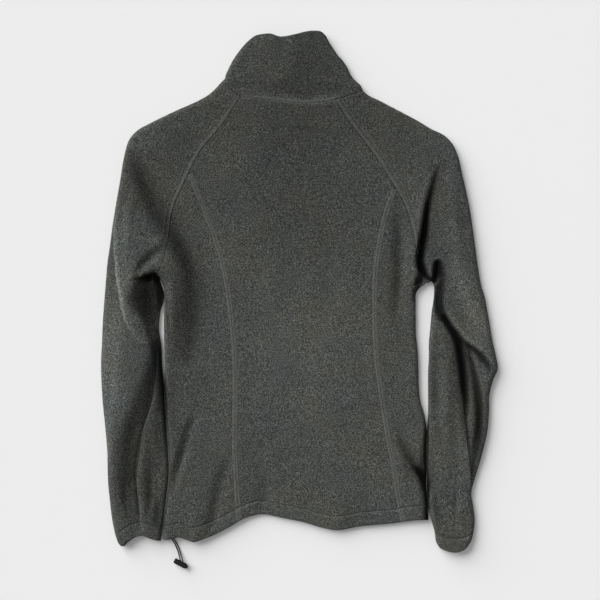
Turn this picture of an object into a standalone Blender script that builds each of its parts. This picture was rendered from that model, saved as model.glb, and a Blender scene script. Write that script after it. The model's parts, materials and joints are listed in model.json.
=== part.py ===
"""Fleece zip jacket lying flat on its front, back uppermost.

Frame: X to the right seen from above, which is the wearer's right side, Y towards the collar, Z up. In names,
left is the wearer's left, on the -X side. The floor is z = 0 and the origin is under the middle of the
laid-out jacket. Tables are in millimetres.
"""
import math

import bmesh
import bpy
import numpy as np

MM = 0.001

# Cloth
CLOTH = 2.6          # fleece wall
COLLAR_CLOTH = 3.2   # the collar is the same fleece, doubled and pressed
SEAM = 0.3           # gap between two sewn pieces
ROLL = 8.0           # how far in from a folded edge the cloth starts to turn down
ROLL_MOST = 0.35     # and never more than this share of a row's width
ROLL_TURN = (0.0, 24.0, 48.0, 72.0)   # degrees round the fold at which the rows have a point
INNER_REACH = 20.0   # the inner face is drawn in this far from a folded edge
EDGE_SOFT = 0.7      # a turned edge is thinned by this on each face
CELLS = dict(centre_back=12, side_back=10, front=10, sleeve_top=18, sleeve_under=11, neck=10)

# How high the uppermost layer lies over the floor
LIE_BODY = 7.0
LIE_SLEEVE = 10.5
LIE_COLLAR = 9.5
LIE_LOWEST = 5.8
LIE_HIGHEST = 18.0
OVER_SLIDER = 0.92   # the collar's upper layer rises by this share of the lower one's lift

# Front zip, under the jacket
ZIP_X = -15.0        # line of the zip
ZIP_GAP = 6.0        # from that line to each cloth edge
TAPE_WIDTH = 13.0
TAPE_THICK = 0.6
CHAIN_WIDTH = 5.0
CHAIN_THICK = 2.0
CHAIN_END_Y = -300.0  # where the chain meets the box at the hem
SLIDER_Y = 337.0     # middle of the slider, at the top of the collar
SLIDER = dict(length=11.0, width=9.4, plate=1.1)
LIFT = 4.0           # the cloth rides this high over the slider
LIFT_FROM_Y, LIFT_FULL_Y = 235.0, 318.0
LIFT_HALF_WIDTH = 42.0
POST = dict(half_width=1.8, from_tape=1.2, from_end=0.5)   # joins the slider's two plates
BRIDGE = dict(half_width=0.8, low_end=-3.6, high_end=4.6, leg=1.0, height=3.1)   # carries the pull tab
OVERLAP = 0.4        # how far joined parts of the slider run into each other
BOX = dict(half_width=3.4, length=8.0, below=2.2, tape_beside=7.0)   # the zip's box at the hem
PULL = dict(length=27.0, width=6.6, thick=1.2, slot_width=3.2, slot_length=6.0, bar=1.4, around=28)
PULL_REST = math.radians(4.3)   # the tab's end drops from its hinge to the floor

# Drawcord and cord lock at the hem
CORD = 1.6           # diameter of one strand
CORD_PITCH = (2.4, 2.9)   # between the two strands, at the hem and at the lock
CORD_POINTS = 22
LOCK_RADIUS = 3.7
LOCK_LENGTH = 18.5
LOCK_END = (-173.7, -372.0)       # closed end of the barrel
LOCK_TURN = math.radians(-28.0)   # direction of the barrel's axis in plan
LOCK_AROUND = 20                  # sides of its round parts
LOCK_BORE = dict(radius=2.6, depth=4.3)
LOCK_SLOT = dict(along=9.5, length=6.6, height=2.6, depth=2.5)
PLUNGER = dict(radius=2.3, inside=2.0, outside=2.6)

# Outline of the body from the neck to the hem. Rows up to ARMPIT follow the raglan seams, the rest the side
# folds. Columns: left x, left y, right x, right y.
BODY_ROWS = np.array([
    (-82.4, 268, 49.5, 264.4),
    (-92.7, 252, 61.1, 246),
    (-103.8, 235, 74.9, 226),
    (-118.3, 217, 91.5, 205),
    (-134.1, 199, 106.7, 184),
    (-144.5, 181, 119.8, 164),
    (-152.8, 165, 132.2, 144),
    (-162.4, 144, 144.6, 122),
    (-172.1, 122, 152.2, 100),
    (-178.3, 99, 157.0, 78),
    (-181.3, 74, 159.8, 56),
    (-187.3, 48, 164.6, 34),
    (-194.2, 23, 174.3, 13),
    (-190.6, 12, 166.7, 6),
    (-187.3, 1, 160.9, -3),
    (-187.0, -14, 160.5, -17),
    (-188.0, -37, 160.5, -38),
    (-187.8, -60, 160.9, -60),
    (-186.9, -83, 163.3, -83),
    (-186.5, -106, 164.2, -106),
    (-187.3, -129, 164.7, -129),
    (-186.0, -152, 166.6, -150),
    (-184.8, -172, 172.5, -171),
    (-183.4, -193, 175.6, -191),
    (-182.2, -214, 175.5, -212),
    (-180.2, -235, 175.5, -234),
    (-178.7, -255, 175.5, -255),
    (-182.6, -276, 175.6, -275),
    (-186.4, -297, 176.5, -294),
    (-190.0, -318, 177.8, -316),
])
PRINCESS_ROW = 6     # the princess seams start here, on the raglan seams
TIP_SHARE = 0.14     # the side panels' blunt tips start this share of a row below it
ARMPIT = 12
ARMPIT_CLOSES = 1.6  # rows below the armpit in which the raglan seam turns into a folded edge
FRONT_NECK_ROW = 2   # the front raglan seams start here, lower than the back ones
NECK_ROWS = 3.0      # the rows down which the neckline's dip fades
HEM_ROW = 24         # from here down the rows bend into the hem's wave
HEM_LEVEL = -317.0

# Princess seams. Columns: y, left x, then y, right x.
PRINCESS_LEFT = [(165, -152.8), (117, -133.4), (70, -115.5), (17, -101.7), (-46, -93.4), (-104, -89.3),
                 (-179, -89.3), (-231, -89.0), (-318, -83.8)]
PRINCESS_RIGHT = [(144, 132.2), (101, 117.7), (43, 106.7), (-9, 103.9), (-72, 105.3), (-126, 110.8),
                  (-190, 120.5), (-242, 130.1), (-316, 142.8)]

# Lower edge of the back. Columns: x, y.
HEM = [(-191, -340), (-183, -342), (-173, -340), (-165, -339), (-149, -345), (-138, -343.3), (-118, -335.9),
       (-96, -324.6), (-80, -315.2), (-66, -310.2), (-49, -308), (-22, -313.4), (3, -318.4), (36, -328),
       (56, -329.8), (86, -325), (125, -321.6), (160, -317.2), (180, -316.6)]
HEM_FRONT_SHORT = 3.0   # the front hem lies this far inside the back one

# Sleeves. Down to the armpit a row runs from the body's row to the shoulder fold, whose x and y follow.
SHOULDER_LEFT = [(-107.3, 290.9), (-121.5, 276), (-138, 265.2), (-168, 251.7), (-189, 241.8), (-208, 232.3),
                 (-224, 223.3), (-236.6, 208.5), (-243.5, 184), (-248.4, 154), (-253.7, 124), (-259.2, 90),
                 (-263.2, 60)]
SHOULDER_RIGHT = [(87.6, 277.6), (97, 270.4), (113, 262.8), (140, 248.7), (162, 237.1), (181, 225.5),
                  (199.2, 216.5), (211.7, 203.6), (219.4, 186), (224.3, 165), (229.9, 140), (236, 110),
                  (241.5, 71)]
# Below it a row runs from fold to fold. Columns: inner x, inner y, outer x, outer y.
ARM_LEFT = [
    (-192.4, 10, -266.2, 39),
    (-189.6, -1, -267.9, 19),
    (-189.0, -12, -269.4, -1),
    (-193, -28, -271, -21),
    (-196, -52, -272.6, -46),
    (-193, -75, -273.7, -72),
    (-190.4, -100, -274.9, -99),
    (-189.8, -125, -274.3, -125),
    (-188.0, -150, -272.8, -150),
    (-187.0, -173, -270.3, -175),
    (-185.6, -197, -268.1, -198),
    (-184.2, -220, -266.2, -221),
    (-181.8, -242, -265.7, -245),
    (-181.4, -263, -264.9, -267),
    (-185.6, -281, -263, -286),
    (-189, -299, -260.8, -304),
    (-192, -318, -257.6, -321),
    (-193, -332, -254.8, -333),
    (-193, -342, -251, -344),
]
ARM_RIGHT = [
    (183, 14, 246.4, 35),
    (185.8, 6, 250.7, 10),
    (185.7, -8, 256, -8),
    (182.7, -28, 259.6, -27),
    (180.7, -50, 263.4, -49),
    (178.7, -72, 267.2, -71),
    (178.7, -92, 271.6, -90),
    (177.7, -107, 274, -107),
    (177.5, -122, 267.9, -122),
    (177.6, -143, 262.6, -143),
    (178, -166, 262, -166),
    (178, -191, 260, -191),
    (178, -215, 255, -215),
    (178, -237, 249, -237),
    (178, -259, 242.4, -259),
    (178.4, -279, 237.4, -279),
    (179.2, -297, 240, -297),
    (182.2, -314, 242, -314),
    (186.4, -329, 241, -329),
    (188.4, -343, 238, -343),
    (193.6, -352, 233, -352),
]
# Lower edge of each cuff. Columns: share of the way from the inner to the outer fold, how far it hangs down.
CUFF_LEFT = [(0, 2.5), (0.2, -1), (0.4, -5.2), (0.6, -3.8), (0.8, 3), (0.9, 8), (1, 4)]
CUFF_RIGHT = [(0, 2.5), (0.2, 6), (0.5, 8.5), (0.8, 6), (1, 0)]
CUFF_ROWS = 4        # the rows up which the cuff's edge fades
SLEEVE_CLEAR = 0.4   # the sleeve's first row lies this far out and down from the collar's seam line

# Collar. Columns: x, y.
COLLAR_LEFT = [(-107.3, 290.9), (-103.6, 294.6), (-102, 300.6), (-97.4, 310.4), (-92.6, 319.6),
               (-86.5, 329), (-79.8, 337.6), (-72.5, 345.5), (-65, 352)]
COLLAR_RIGHT = [(87.6, 277.6), (84.4, 285), (77.5, 291.2), (71, 299), (65.5, 310.5), (59.4, 319.6),
                (53.4, 326.2), (46.4, 336.2), (41, 344.6), (36.5, 353.5)]
COLLAR_TOP = [(-65, 352), (-56, 355.2), (-41, 356.4), (-27, 352.3), (-10, 354.3), (12, 359.6), (27.5, 360),
              (36.5, 353.5)]
COLLAR_SEAM = [(-107.3, 290.9), (-82.4, 268), (-69, 267), (-34, 264), (3, 260), (28, 261), (49.5, 264.4),
               (87.6, 277.6)]
COLLAR_DIAGONAL = (0.0, 0.025, 0.09, 0.18, 0.3, 0.6)   # places on the seam between a fold and a raglan seam
COLLAR_ROWS = 8
COLLAR_CLEAR = 0.5   # the collar's seam row lies this far up from the seam line
# The front neckline, hidden below, starts down the sleeves. Columns: x, y for rows 0 and 1 of each sleeve.
NECK_UNDER_LEFT = [(-102, 281), (-104.5, 257)]
NECK_UNDER_RIGHT = [(84, 268), (79, 250)]
# Then it crosses the fronts. Columns: x, y.
FRONT_NECK = [(-103.8, 235), (-84, 208), (-52, 190), (-15, 181), (22, 188), (54, 203), (74.9, 226)]
FRONT_NECK_FADE = 9     # the row where the fronts' rows are straight again
COLLAR_FRONT_SHORT = 4.0   # the collar's front edge lies this far below the back one
COLLAR_FRONT_FROM = 0.3    # and reaches that within this share of the way from fold to zip

# Folds in the uppermost layer. A ridge or trough fades away on both sides of its path; a lip is where one
# layer lies over another: the cloth left of the path, walking along it, is high, and right of it low.
# Columns: form, height, width, reach (lips only), path (x, y).
FOLDS = [
    # left sleeve
    ("lip", 5.0, 3.5, 13, [(-254, 106), (-255, 52), (-252, 20), (-248, -5), (-239, -43), (-219, -74),
                           (-209, -79)]),
    ("trough", 5.0, 6.0, 0, [(-190, 60), (-208, 45), (-218, 37), (-227, 28)]),
    ("lip", 8.0, 3.0, 15, [(-231, 18), (-215, 24), (-203, 29), (-195, 23)]),
    ("trough", 5.0, 7.0, 0, [(-204, 24), (-198, 12), (-192, -10)]),
    ("trough", 3.0, 15.0, 0, [(-209, 14), (-206, -20), (-203, -56)]),
    ("lip", 8.5, 3.5, 16, [(-199, -78), (-203, -120), (-215, -172), (-228, -220), (-231, -248), (-226, -284),
                           (-223, -330)]),
    ("trough", 2.0, 4.0, 0, [(-210, -250), (-206, -276), (-207, -306)]),
    # right sleeve
    ("lip", 6.0, 3.5, 14, [(196, 184), (186, 157), (177, 124), (172, 99), (167, 74), (164, 50), (174, 22)]),
    ("trough", 4.5, 5.5, 0, [(184, 150), (175, 115), (168, 74), (166, 44), (172, 24)]),
    ("trough", 5.0, 4.0, 0, [(189, 46), (189, 16)]),
    ("lip", 9.0, 3.5, 15, [(196, 10), (198, -13), (209, -42), (229, -68), (249, -85), (266, -112)]),
    ("trough", 7.0, 5.0, 0, [(202, -42), (214, -64), (222, -90), (226, -122), (229, -164), (229, -186)]),
    ("lip", 4.5, 3.5, 13, [(238, -276), (235, -240), (231, -213), (229, -184), (227, -160)]),
    ("trough", 4.5, 4.5, 0, [(233, -80), (241, -110), (248, -150), (249, -178), (244, -205), (238, -240)]),
    # body
    ("trough", 3.0, 8.0, 0, [(-154, 145), (-153, 71), (-154, -12), (-155, -105)]),
    ("ridge", 2.5, 8.0, 0, [(-174, 95), (-174, -12), (-175, -115)]),
    ("trough", 3.5, 8.0, 0, [(-146, -180), (-158, -208), (-168, -238), (-171, -262)]),
    ("trough", 3.0, 9.0, 0, [(-98, -226), (-113, -271), (-122, -325)]),
    ("trough", 3.0, 7.0, 0, [(136, 130), (137, 71), (137, 10), (131, -50)]),
    ("trough", 4.0, 8.0, 0, [(134, -188), (146, -219), (157, -243), (168, -262), (178, -272)]),
    ("trough", 2.2, 14.0, 0, [(-45, -235), (-49, -285), (-49, -330)]),
    ("ridge", 2.5, 12.0, 0, [(-146, -290), (-143, -330), (-143, -355)]),
    ("trough", 1.5, 12.0, 0, [(-92, -180), (-44, -248)]),
    ("ridge", 1.5, 16.0, 0, [(55, -250), (52, -300), (50, -345)]),
]

# The drawcord's route from inside the hem to the cord lock. Columns: x, y, z.
CORD_ROUTE = [(-179.6, -331.0, 4.3), (-178.3, -336.5, 4.2), (-176.0, -342.0, 3.2), (-172.5, -348.0, 1.6),
              (-169.5, -354.5, 1.1), (-167.1, -361.0, 1.4), (-165.3, -367.0, 2.6), (-164.2, -370.6, 3.3),
              (-163.4, -373.0, 3.6), (-163.2, -374.3, 3.7)]

COLOURS = {
    "fleece": (0.057, 0.060, 0.056),
    "tape": (0.020, 0.020, 0.021),
    "metal": (0.180, 0.180, 0.185),
    "plastic": (0.012, 0.012, 0.013),
}


def clear_scene():
    for thing in list(bpy.data.objects):
        bpy.data.objects.remove(thing, do_unlink=True)


def material(name, colour, roughness, metallic=0.0):
    """A plain finish in the piece's own colour."""
    made = bpy.data.materials.new(name)
    made.use_nodes = True
    shader = made.node_tree.nodes["Principled BSDF"]
    shader.inputs["Base Color"].default_value = (*colour, 1.0)
    shader.inputs["Roughness"].default_value = roughness
    shader.inputs["Metallic"].default_value = metallic
    made.diffuse_color = (*colour, 1.0)
    return made


def smooth(value):
    """0 below 0, 1 above 1 and an even S between."""
    t = np.clip(value, 0.0, 1.0)
    return t * t * (3.0 - 2.0 * t)


def spline(points, count):
    """count points along a Catmull-Rom curve through the given ones, evenly spread by chord length."""
    p = np.asarray(points, float)
    steps = np.linalg.norm(np.diff(p, axis=0), axis=1)
    at = np.concatenate([[0.0], np.cumsum(steps)])
    ends = np.vstack([2 * p[0] - p[1], p, 2 * p[-1] - p[-2]])
    want = np.linspace(0.0, at[-1], count)
    i = np.clip(np.searchsorted(at, want, side="right") - 1, 0, len(p) - 2)
    t = ((want - at[i]) / steps[i])[:, None]
    a, b, c, d = ends[i], ends[i + 1], ends[i + 2], ends[i + 3]
    bend, twist = 2 * a - 5 * b + 4 * c - d, 3 * b - a - 3 * c + d
    return 0.5 * (2 * b + (c - a) * t + bend * t ** 2 + twist * t ** 3)


def curve_value(table, at):
    """Read a smooth curve given as rows of (place, value)."""
    line = spline(table, 160)
    order = np.argsort(line[:, 0])
    return np.interp(at, line[order, 0], line[order, 1])


def fold_height(x, y, form, height, width, reach, path):
    """Height that one fold adds: a bell across its path, or for a lip an S-shaped step that fades away."""
    line = spline(path, 6 * len(path))
    start, step = line[:-1], np.diff(line, axis=0)
    length = np.linalg.norm(step, axis=1)
    px, py = x[..., None] - start[:, 0], y[..., None] - start[:, 1]
    along = np.clip((px * step[:, 0] + py * step[:, 1]) / length ** 2, 0.0, 1.0)
    gap = np.hypot(px - along * step[:, 0], py - along * step[:, 1])
    near = gap.argmin(axis=-1)[..., None]
    distance = np.take_along_axis(gap, near, -1)[..., 0]
    done = np.concatenate([[0.0], np.cumsum(length)[:-1]])
    share = (done + along * length) / length.sum()
    share = np.take_along_axis(share, near, -1)[..., 0]
    fade = smooth(share / 0.16) * smooth((1.0 - share) / 0.16)
    if form != "lip":
        sign = 1.0 if form == "ridge" else -1.0
        return sign * height * fade * np.exp(-(distance / width) ** 2)
    side = step[:, 0] * py - step[:, 1] * px
    side = np.sign(np.take_along_axis(side, near, -1)[..., 0])
    return 0.5 * height * fade * side * np.tanh(distance / width) * np.exp(-(distance / reach) ** 2)


def lie(x, y):
    """Height over the floor of the uppermost cloth's outer face."""
    x, y = np.asarray(x, float), np.asarray(y, float)
    level = LIE_BODY + (LIE_SLEEVE - LIE_BODY) * smooth((np.abs(x) - 125.0) / 75.0)
    level = level + (LIE_COLLAR - level) * smooth((y - 190.0) / 80.0)
    for fold in FOLDS:
        level = level + fold_height(x, y, *fold)
    return np.clip(level, LIE_LOWEST, LIE_HIGHEST) + OVER_SLIDER * lift(x, y)


def lift(x, y):
    """Height over the floor of the lowest cloth, which rides over the zip's slider."""
    across = smooth(1.0 - np.abs(np.asarray(x, float) - ZIP_X) / LIFT_HALF_WIDTH)
    return LIFT * across * smooth((np.asarray(y, float) - LIFT_FROM_Y) / (LIFT_FULL_Y - LIFT_FROM_Y))


def across_cells(cells, roll_start, roll_end, width):
    """Places across a row, 0 to 1, closer together where a folded edge turns down."""
    roll = min(ROLL / width, ROLL_MOST)
    turn = roll * (1.0 - np.cos(np.radians(ROLL_TURN)))
    start, end = (turn if roll_start else turn[:1]), (turn if roll_end else turn[:1])
    inside = cells + 1 - len(start) - len(end) + (not roll_start) + (not roll_end)
    flat = np.linspace(roll * roll_start, 1.0 - roll * roll_end, inside)
    flat = flat[(0 if roll_start else 1):(len(flat) if roll_end else -1)]
    return np.concatenate([start, flat, 1.0 - end[::-1]])


def rounded(distance):
    """Height of a quarter round by distance from a folded edge: 0 there, and 1 where the cloth lies flat."""
    inward = np.clip(distance / ROLL, 0.0, 1.0)
    return np.sqrt(np.clip(1.0 - (1.0 - inward) ** 2, 0.0, 1.0))


def near_fold(distance):
    """How far the inner face is drawn in: 1 at a folded edge, falling to 0."""
    return np.clip(1.0 - distance / INNER_REACH, 0.0, 1.0) ** 2


def dress(plan, inner_plan, full, upper, thick):
    """Give a layer its height: two grids, the outer and the inner face. An upper layer's outer face looks up,
    a lower layer's looks down, and both bend to half the height at a folded edge, where full is 0."""
    top = lie(plan[..., 0], plan[..., 1])
    floor = lift(plan[..., 0], plan[..., 1])
    middle = 0.5 * (top + floor)
    if upper:
        outer_z = middle + (top - middle) * full
        inner_z = middle + (top - thick - middle) * full
    else:
        outer_z = middle - (middle - floor) * full
        inner_z = middle - (middle - floor - thick) * full
    apart = 0.5 * SEAM * (full < 0.001) * (1.0 if upper else -1.0)
    return np.dstack([plan, outer_z + apart]), np.dstack([inner_plan, inner_z + apart])


def layer(starts, ends, cells, bend, roll_start=False, roll_end=False, closed=1.0, upper=True):
    """One layer of cloth, a row for each pair of start and end points.

    closed is 0 in rows above the armpit, where a start is not a folded edge, and 1 in rows below; bend moves
    the plan points.
    """
    starts, ends = np.asarray(starts, float), np.asarray(ends, float)
    width = np.linalg.norm(ends - starts, axis=1)
    closed = closed * roll_start * np.ones(len(starts))
    at = np.stack([across_cells(cells, roll_start, roll_end, w) for w in width])
    from_start, from_end = at * width[:, None], (1.0 - at) * width[:, None]
    full = np.minimum(1.0 - closed[:, None] * (1.0 - rounded(from_start)),
                      rounded(from_end) if roll_end else 1.0)
    plan = starts[:, None] + (ends - starts)[:, None] * at[..., None]
    drawn_in = closed[:, None] * near_fold(from_start) - roll_end * near_fold(from_end)
    direction = ((ends - starts) / width[:, None])[:, None]
    inner_plan = plan + direction * (CLOTH * drawn_in)[..., None]
    return dress(bend(plan), bend(inner_plan), full, upper, CLOTH)


def soften(outer, inner):
    """Thin a wall at its last row, a turned edge, so that it looks folded and not cut."""
    middle = 0.5 * (outer[-1] + inner[-1])
    reach = np.linalg.norm(outer[-1] - inner[-1], axis=1, keepdims=True)
    share = 1.0 - 2.0 * EDGE_SOFT / reach
    outer[-1] = middle + (outer[-1] - middle) * share
    inner[-1] = middle + (inner[-1] - middle) * share


def wall(name, outer, inner, finish):
    """A closed wall between two grids of points of the same size."""
    rows, columns = outer.shape[:2]
    points = np.concatenate([outer.reshape(-1, 3), inner.reshape(-1, 3)]) * MM
    index = np.arange(rows * columns).reshape(rows, columns)
    back = index + rows * columns
    faces = []

    def add(a, b, c, d):
        faces.extend(np.stack([a.ravel(), b.ravel(), c.ravel(), d.ravel()], axis=1).tolist())

    add(index[:-1, :-1], index[:-1, 1:], index[1:, 1:], index[1:, :-1])
    add(back[:-1, :-1], back[1:, :-1], back[1:, 1:], back[:-1, 1:])
    add(index[0, :-1], back[0, :-1], back[0, 1:], index[0, 1:])
    add(index[-1, :-1], index[-1, 1:], back[-1, 1:], back[-1, :-1])
    add(index[:-1, 0], index[1:, 0], back[1:, 0], back[:-1, 0])
    add(index[:-1, -1], back[:-1, -1], back[1:, -1], index[1:, -1])
    return solid(name, points, faces, finish, smooth_angle=60)


def solid(name, points, faces, finish, smooth_angle=35):
    """An object from points in metres and faces, turned to face outwards."""
    mesh = bpy.data.meshes.new(name)
    mesh.from_pydata([tuple(p) for p in np.asarray(points).tolist()], [], faces)
    mesh.update()
    piece = bpy.data.objects.new(name, mesh)
    bpy.context.scene.collection.objects.link(piece)
    face_outwards(mesh)
    mesh.materials.append(finish)
    mesh.shade_smooth()
    mesh.set_sharp_from_angle(angle=math.radians(smooth_angle))
    return piece


def face_outwards(mesh):
    """Turn a closed mesh's faces outwards and cut them into triangles."""
    work = bmesh.new()
    work.from_mesh(mesh)
    bmesh.ops.recalc_face_normals(work, faces=work.faces)
    bmesh.ops.triangulate(work, faces=work.faces)
    work.to_mesh(mesh)
    work.free()


def inset(starts, ends, at_start, at_end):
    """Pull both ends of each row in, to leave half a seam's gap."""
    direction = (ends - starts) / np.linalg.norm(ends - starts, axis=1, keepdims=True)
    return starts + direction * at_start, ends - direction * at_end


# ---------------------------------------------------------------- body

LAST_ROW = len(BODY_ROWS) - 1


def closing(count):
    """For each row, how far its inner edge is a folded one: 0 down to the armpit and 1 two rows below it."""
    return smooth((np.arange(count) - ARMPIT) / ARMPIT_CLOSES)


def row_level(row, x):
    """y of a body row at x, on the straight line between its two ends."""
    xl, yl, xr, yr = BODY_ROWS[row].T
    return yl + (yr - yl) * (x - xl) / (xr - xl)


def princess_points(rows, table):
    """Where the rows cross a princess seam, found by going back and forth between the seam and the rows."""
    y = BODY_ROWS[rows, 1]
    for _ in range(6):
        x = curve_value(table, y)
        y = row_level(rows, x)
    return np.stack([x, y], axis=1)


def dip(plan, row, line):
    """How far a seam line (x, y) lies above a straight row, and 0 beside the line's ends."""
    x = plan[..., 0]
    inside = (x > line[0][0]) & (x < line[-1][0])
    places, levels = np.array(line, float).T
    return np.where(inside, np.interp(x, places, levels) - row_level(row, x), 0.0)


def hem_bend(rows, shorter=0.0):
    """Move points so that the last row follows the hem's wave and the rows above fade into straight ones."""
    weight = np.clip((rows - HEM_ROW) / (LAST_ROW - HEM_ROW), 0.0, 1.0)[:, None] ** 1.5

    def bend(plan):
        moved = plan.copy()
        wave = curve_value(HEM, plan[..., 0]) + shorter - HEM_LEVEL
        moved[..., 1] += wave * weight
        return moved
    return bend


def back_bend(rows):
    """The hem's wave and, at the neck, the dip of the collar seam."""
    hem = hem_bend(rows)
    weight = np.clip(1.0 - rows / NECK_ROWS, 0.0, 1.0)[:, None]

    def bend(plan):
        moved = hem(plan)
        moved[..., 1] += dip(plan, 0, COLLAR_SEAM[1:-1]) * weight
        return moved
    return bend


def front_bend(rows):
    """The hem's wave and the front neckline's dip."""
    hem = hem_bend(rows, HEM_FRONT_SHORT)
    weight = np.clip(1.0 - (rows - FRONT_NECK_ROW) / (FRONT_NECK_FADE - FRONT_NECK_ROW), 0.0, 1.0)[:, None]

    def bend(plan):
        moved = hem(plan)
        moved[..., 1] += dip(plan, FRONT_NECK_ROW, FRONT_NECK) * weight
        return moved
    return bend


def body_points(rows, side):
    return BODY_ROWS[rows, 0:2] if side == "left" else BODY_ROWS[rows, 2:4]


def seam_half(rows):
    """Half a seam's gap for each row down to the armpit, and none at the folded edge below it."""
    return np.where(rows > ARMPIT, 0.0, 0.5 * SEAM)[:, None]


def make_centre_back(fleece):
    rows = np.arange(LAST_ROW + 1)
    left, right = body_points(rows, "left").copy(), body_points(rows, "right").copy()
    left[PRINCESS_ROW:] = princess_points(rows[PRINCESS_ROW:], PRINCESS_LEFT)
    right[PRINCESS_ROW:] = princess_points(rows[PRINCESS_ROW:], PRINCESS_RIGHT)
    starts, ends = inset(left, right, 0.5 * SEAM, 0.5 * SEAM)
    outer, inner = layer(starts, ends, CELLS["centre_back"], back_bend(rows))
    soften(outer, inner)
    wall("centre_back", outer, inner, fleece)


def make_side_back(fleece, side, table):
    rows = np.arange(PRINCESS_ROW, LAST_ROW + 1)
    starts, ends = body_points(rows, side).copy(), princess_points(rows, table)
    starts[0] += (starts[1] - starts[0]) * TIP_SHARE
    ends[0] += (ends[1] - ends[0]) * TIP_SHARE
    starts, ends = inset(starts, ends, seam_half(rows), 0.5 * SEAM)
    outer, inner = layer(starts, ends, CELLS["side_back"], back_bend(rows), roll_start=True,
                         closed=closing(LAST_ROW + 1)[rows])
    soften(outer, inner)
    wall(f"side_back_{side}", outer, inner, fleece)


def make_front(fleece, side, zip_edge_x):
    """A front, and the plan points of its neckline, which the collar shares."""
    rows = np.arange(FRONT_NECK_ROW, LAST_ROW + 1)
    x = np.full(len(rows), zip_edge_x)
    ends = np.stack([x, row_level(rows, x)], axis=1)
    starts, ends = inset(body_points(rows, side), ends, seam_half(rows), 0.0)
    outer, inner = layer(starts, ends, CELLS["front"], front_bend(rows), roll_start=True,
                         closed=closing(LAST_ROW + 1)[rows], upper=False)
    neck = outer[0, :, :2].copy()
    soften(outer, inner)
    wall(f"front_{side}", outer, inner, fleece)
    return neck


# ---------------------------------------------------------------- sleeves

def cuff_bend(rows, table, last):
    """Let the last rows hang down as far as the cuff's edge does at each share of its width."""
    weight = (np.clip((rows - (last - CUFF_ROWS)) / CUFF_ROWS, 0.0, 1.0) ** 1.5)[:, None]

    def bend(plan):
        start, end = plan[:, :1], plan[:, -1:]
        span = np.linalg.norm(end - start, axis=2)
        share = np.linalg.norm(plan - start, axis=2) / span
        moved = plan.copy()
        moved[..., 1] -= curve_value(table, share) * weight
        return moved
    return bend


def make_sleeve(fleece, side):
    """One sheet all round: from the raglan or underarm seam over the upper side to the shoulder fold, and back
    below. Below the armpit its two long edges meet in the underarm seam."""
    shoulder, arm, cuff, under = ((SHOULDER_LEFT, ARM_LEFT, CUFF_LEFT, NECK_UNDER_LEFT) if side == "left" else
                                  (SHOULDER_RIGHT, ARM_RIGHT, CUFF_RIGHT, NECK_UNDER_RIGHT))
    arm = np.array(arm, float)
    raglan = body_points(np.arange(ARMPIT + 1), side)
    inner_side = np.vstack([raglan, arm[:, 0:2]])
    outer_side = np.vstack([np.array(shoulder, float), arm[:, 2:4]])
    count = len(inner_side)
    rows = np.arange(count)
    bend = cuff_bend(rows, cuff, count - 1)
    starts, ends = inset(inner_side, outer_side, seam_half(rows), 0.0)
    top_outer, top_inner = layer(starts, ends, CELLS["sleeve_top"], bend, roll_start=True, roll_end=True,
                                 closed=closing(count))
    lower_side = inner_side.copy()
    lower_side[:len(under)] = under
    starts, ends = inset(lower_side, outer_side, seam_half(rows), 0.0)
    low_outer, low_inner = layer(starts, ends, CELLS["sleeve_under"], bend, roll_start=True, roll_end=True,
                                 closed=closing(count), upper=False)
    outer = np.concatenate([top_outer[:, :-1], low_outer[:, ::-1]], axis=1)
    inner = np.concatenate([top_inner[:, :-1], low_inner[:, ::-1]], axis=1)
    for face in (outer, inner):
        face[0, :, :2] += (SLEEVE_CLEAR if side == "right" else -SLEEVE_CLEAR, -SLEEVE_CLEAR)
    soften(outer, inner)
    wall(f"sleeve_{side}", outer, inner, fleece)
    return low_outer[:len(under), 0, :2]


# ---------------------------------------------------------------- collar

def share_of(points):
    """Share of the way along a line of points, 0 to 1."""
    steps = np.linalg.norm(np.diff(points, axis=0), axis=1)
    return np.concatenate([[0.0], np.cumsum(steps)]) / steps.sum()


def at_shares(line, shares):
    """Points at the given shares of the way along a line."""
    own = share_of(line)
    return np.stack([np.interp(shares, own, line[:, 0]), np.interp(shares, own, line[:, 1])], axis=1)


def patch(bottom, top, start, end):
    """Plan points inside four edge lines: a blend of the two across and the two along, less the corners'."""
    across, up = share_of(bottom)[None, :, None], np.linspace(0.0, 1.0, len(start))[:, None, None]
    corners = ((1 - across) * (1 - up) * bottom[0] + across * (1 - up) * bottom[-1]
               + (1 - across) * up * top[0] + across * up * top[-1])
    return ((1 - up) * bottom[None] + up * top[None] + (1 - across) * start[:, None] + across * end[:, None]
            - corners)


def collar_layer(plan, folded_at_end, upper):
    """Dress a plan whose first column, and its last one if so said, is a folded edge."""
    steps = np.linalg.norm(np.diff(plan, axis=1), axis=2)
    along = np.concatenate([np.zeros((len(plan), 1)), np.cumsum(steps, axis=1)], axis=1)
    full = rounded(along)
    drawn_in = near_fold(along)
    if folded_at_end:
        left_over = along[:, -1:] - along
        full = np.minimum(full, rounded(left_over))
        drawn_in = drawn_in - near_fold(left_over)
    direction = plan[:, -1:] - plan[:, :1]
    direction = direction / np.linalg.norm(direction, axis=2, keepdims=True)
    inner_plan = plan + direction * (COLLAR_CLOTH * drawn_in)[..., None]
    return dress(plan, inner_plan, full, upper, COLLAR_CLOTH)


def collar_seam():
    """The back seam's points, closer together where the sheet turns round its two folds."""
    seam = np.array(COLLAR_SEAM, float)
    from_left = [seam[0] + (seam[1] - seam[0]) * t for t in COLLAR_DIAGONAL]
    to_right = [seam[-1] + (seam[-2] - seam[-1]) * t for t in COLLAR_DIAGONAL[::-1]]
    x = np.linspace(seam[1, 0], seam[-2, 0], CELLS["neck"] + 1)
    across = np.stack([x, np.interp(x, seam[1:-1, 0], seam[1:-1, 1])], axis=1)
    return np.vstack([from_left, across, to_right])


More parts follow.
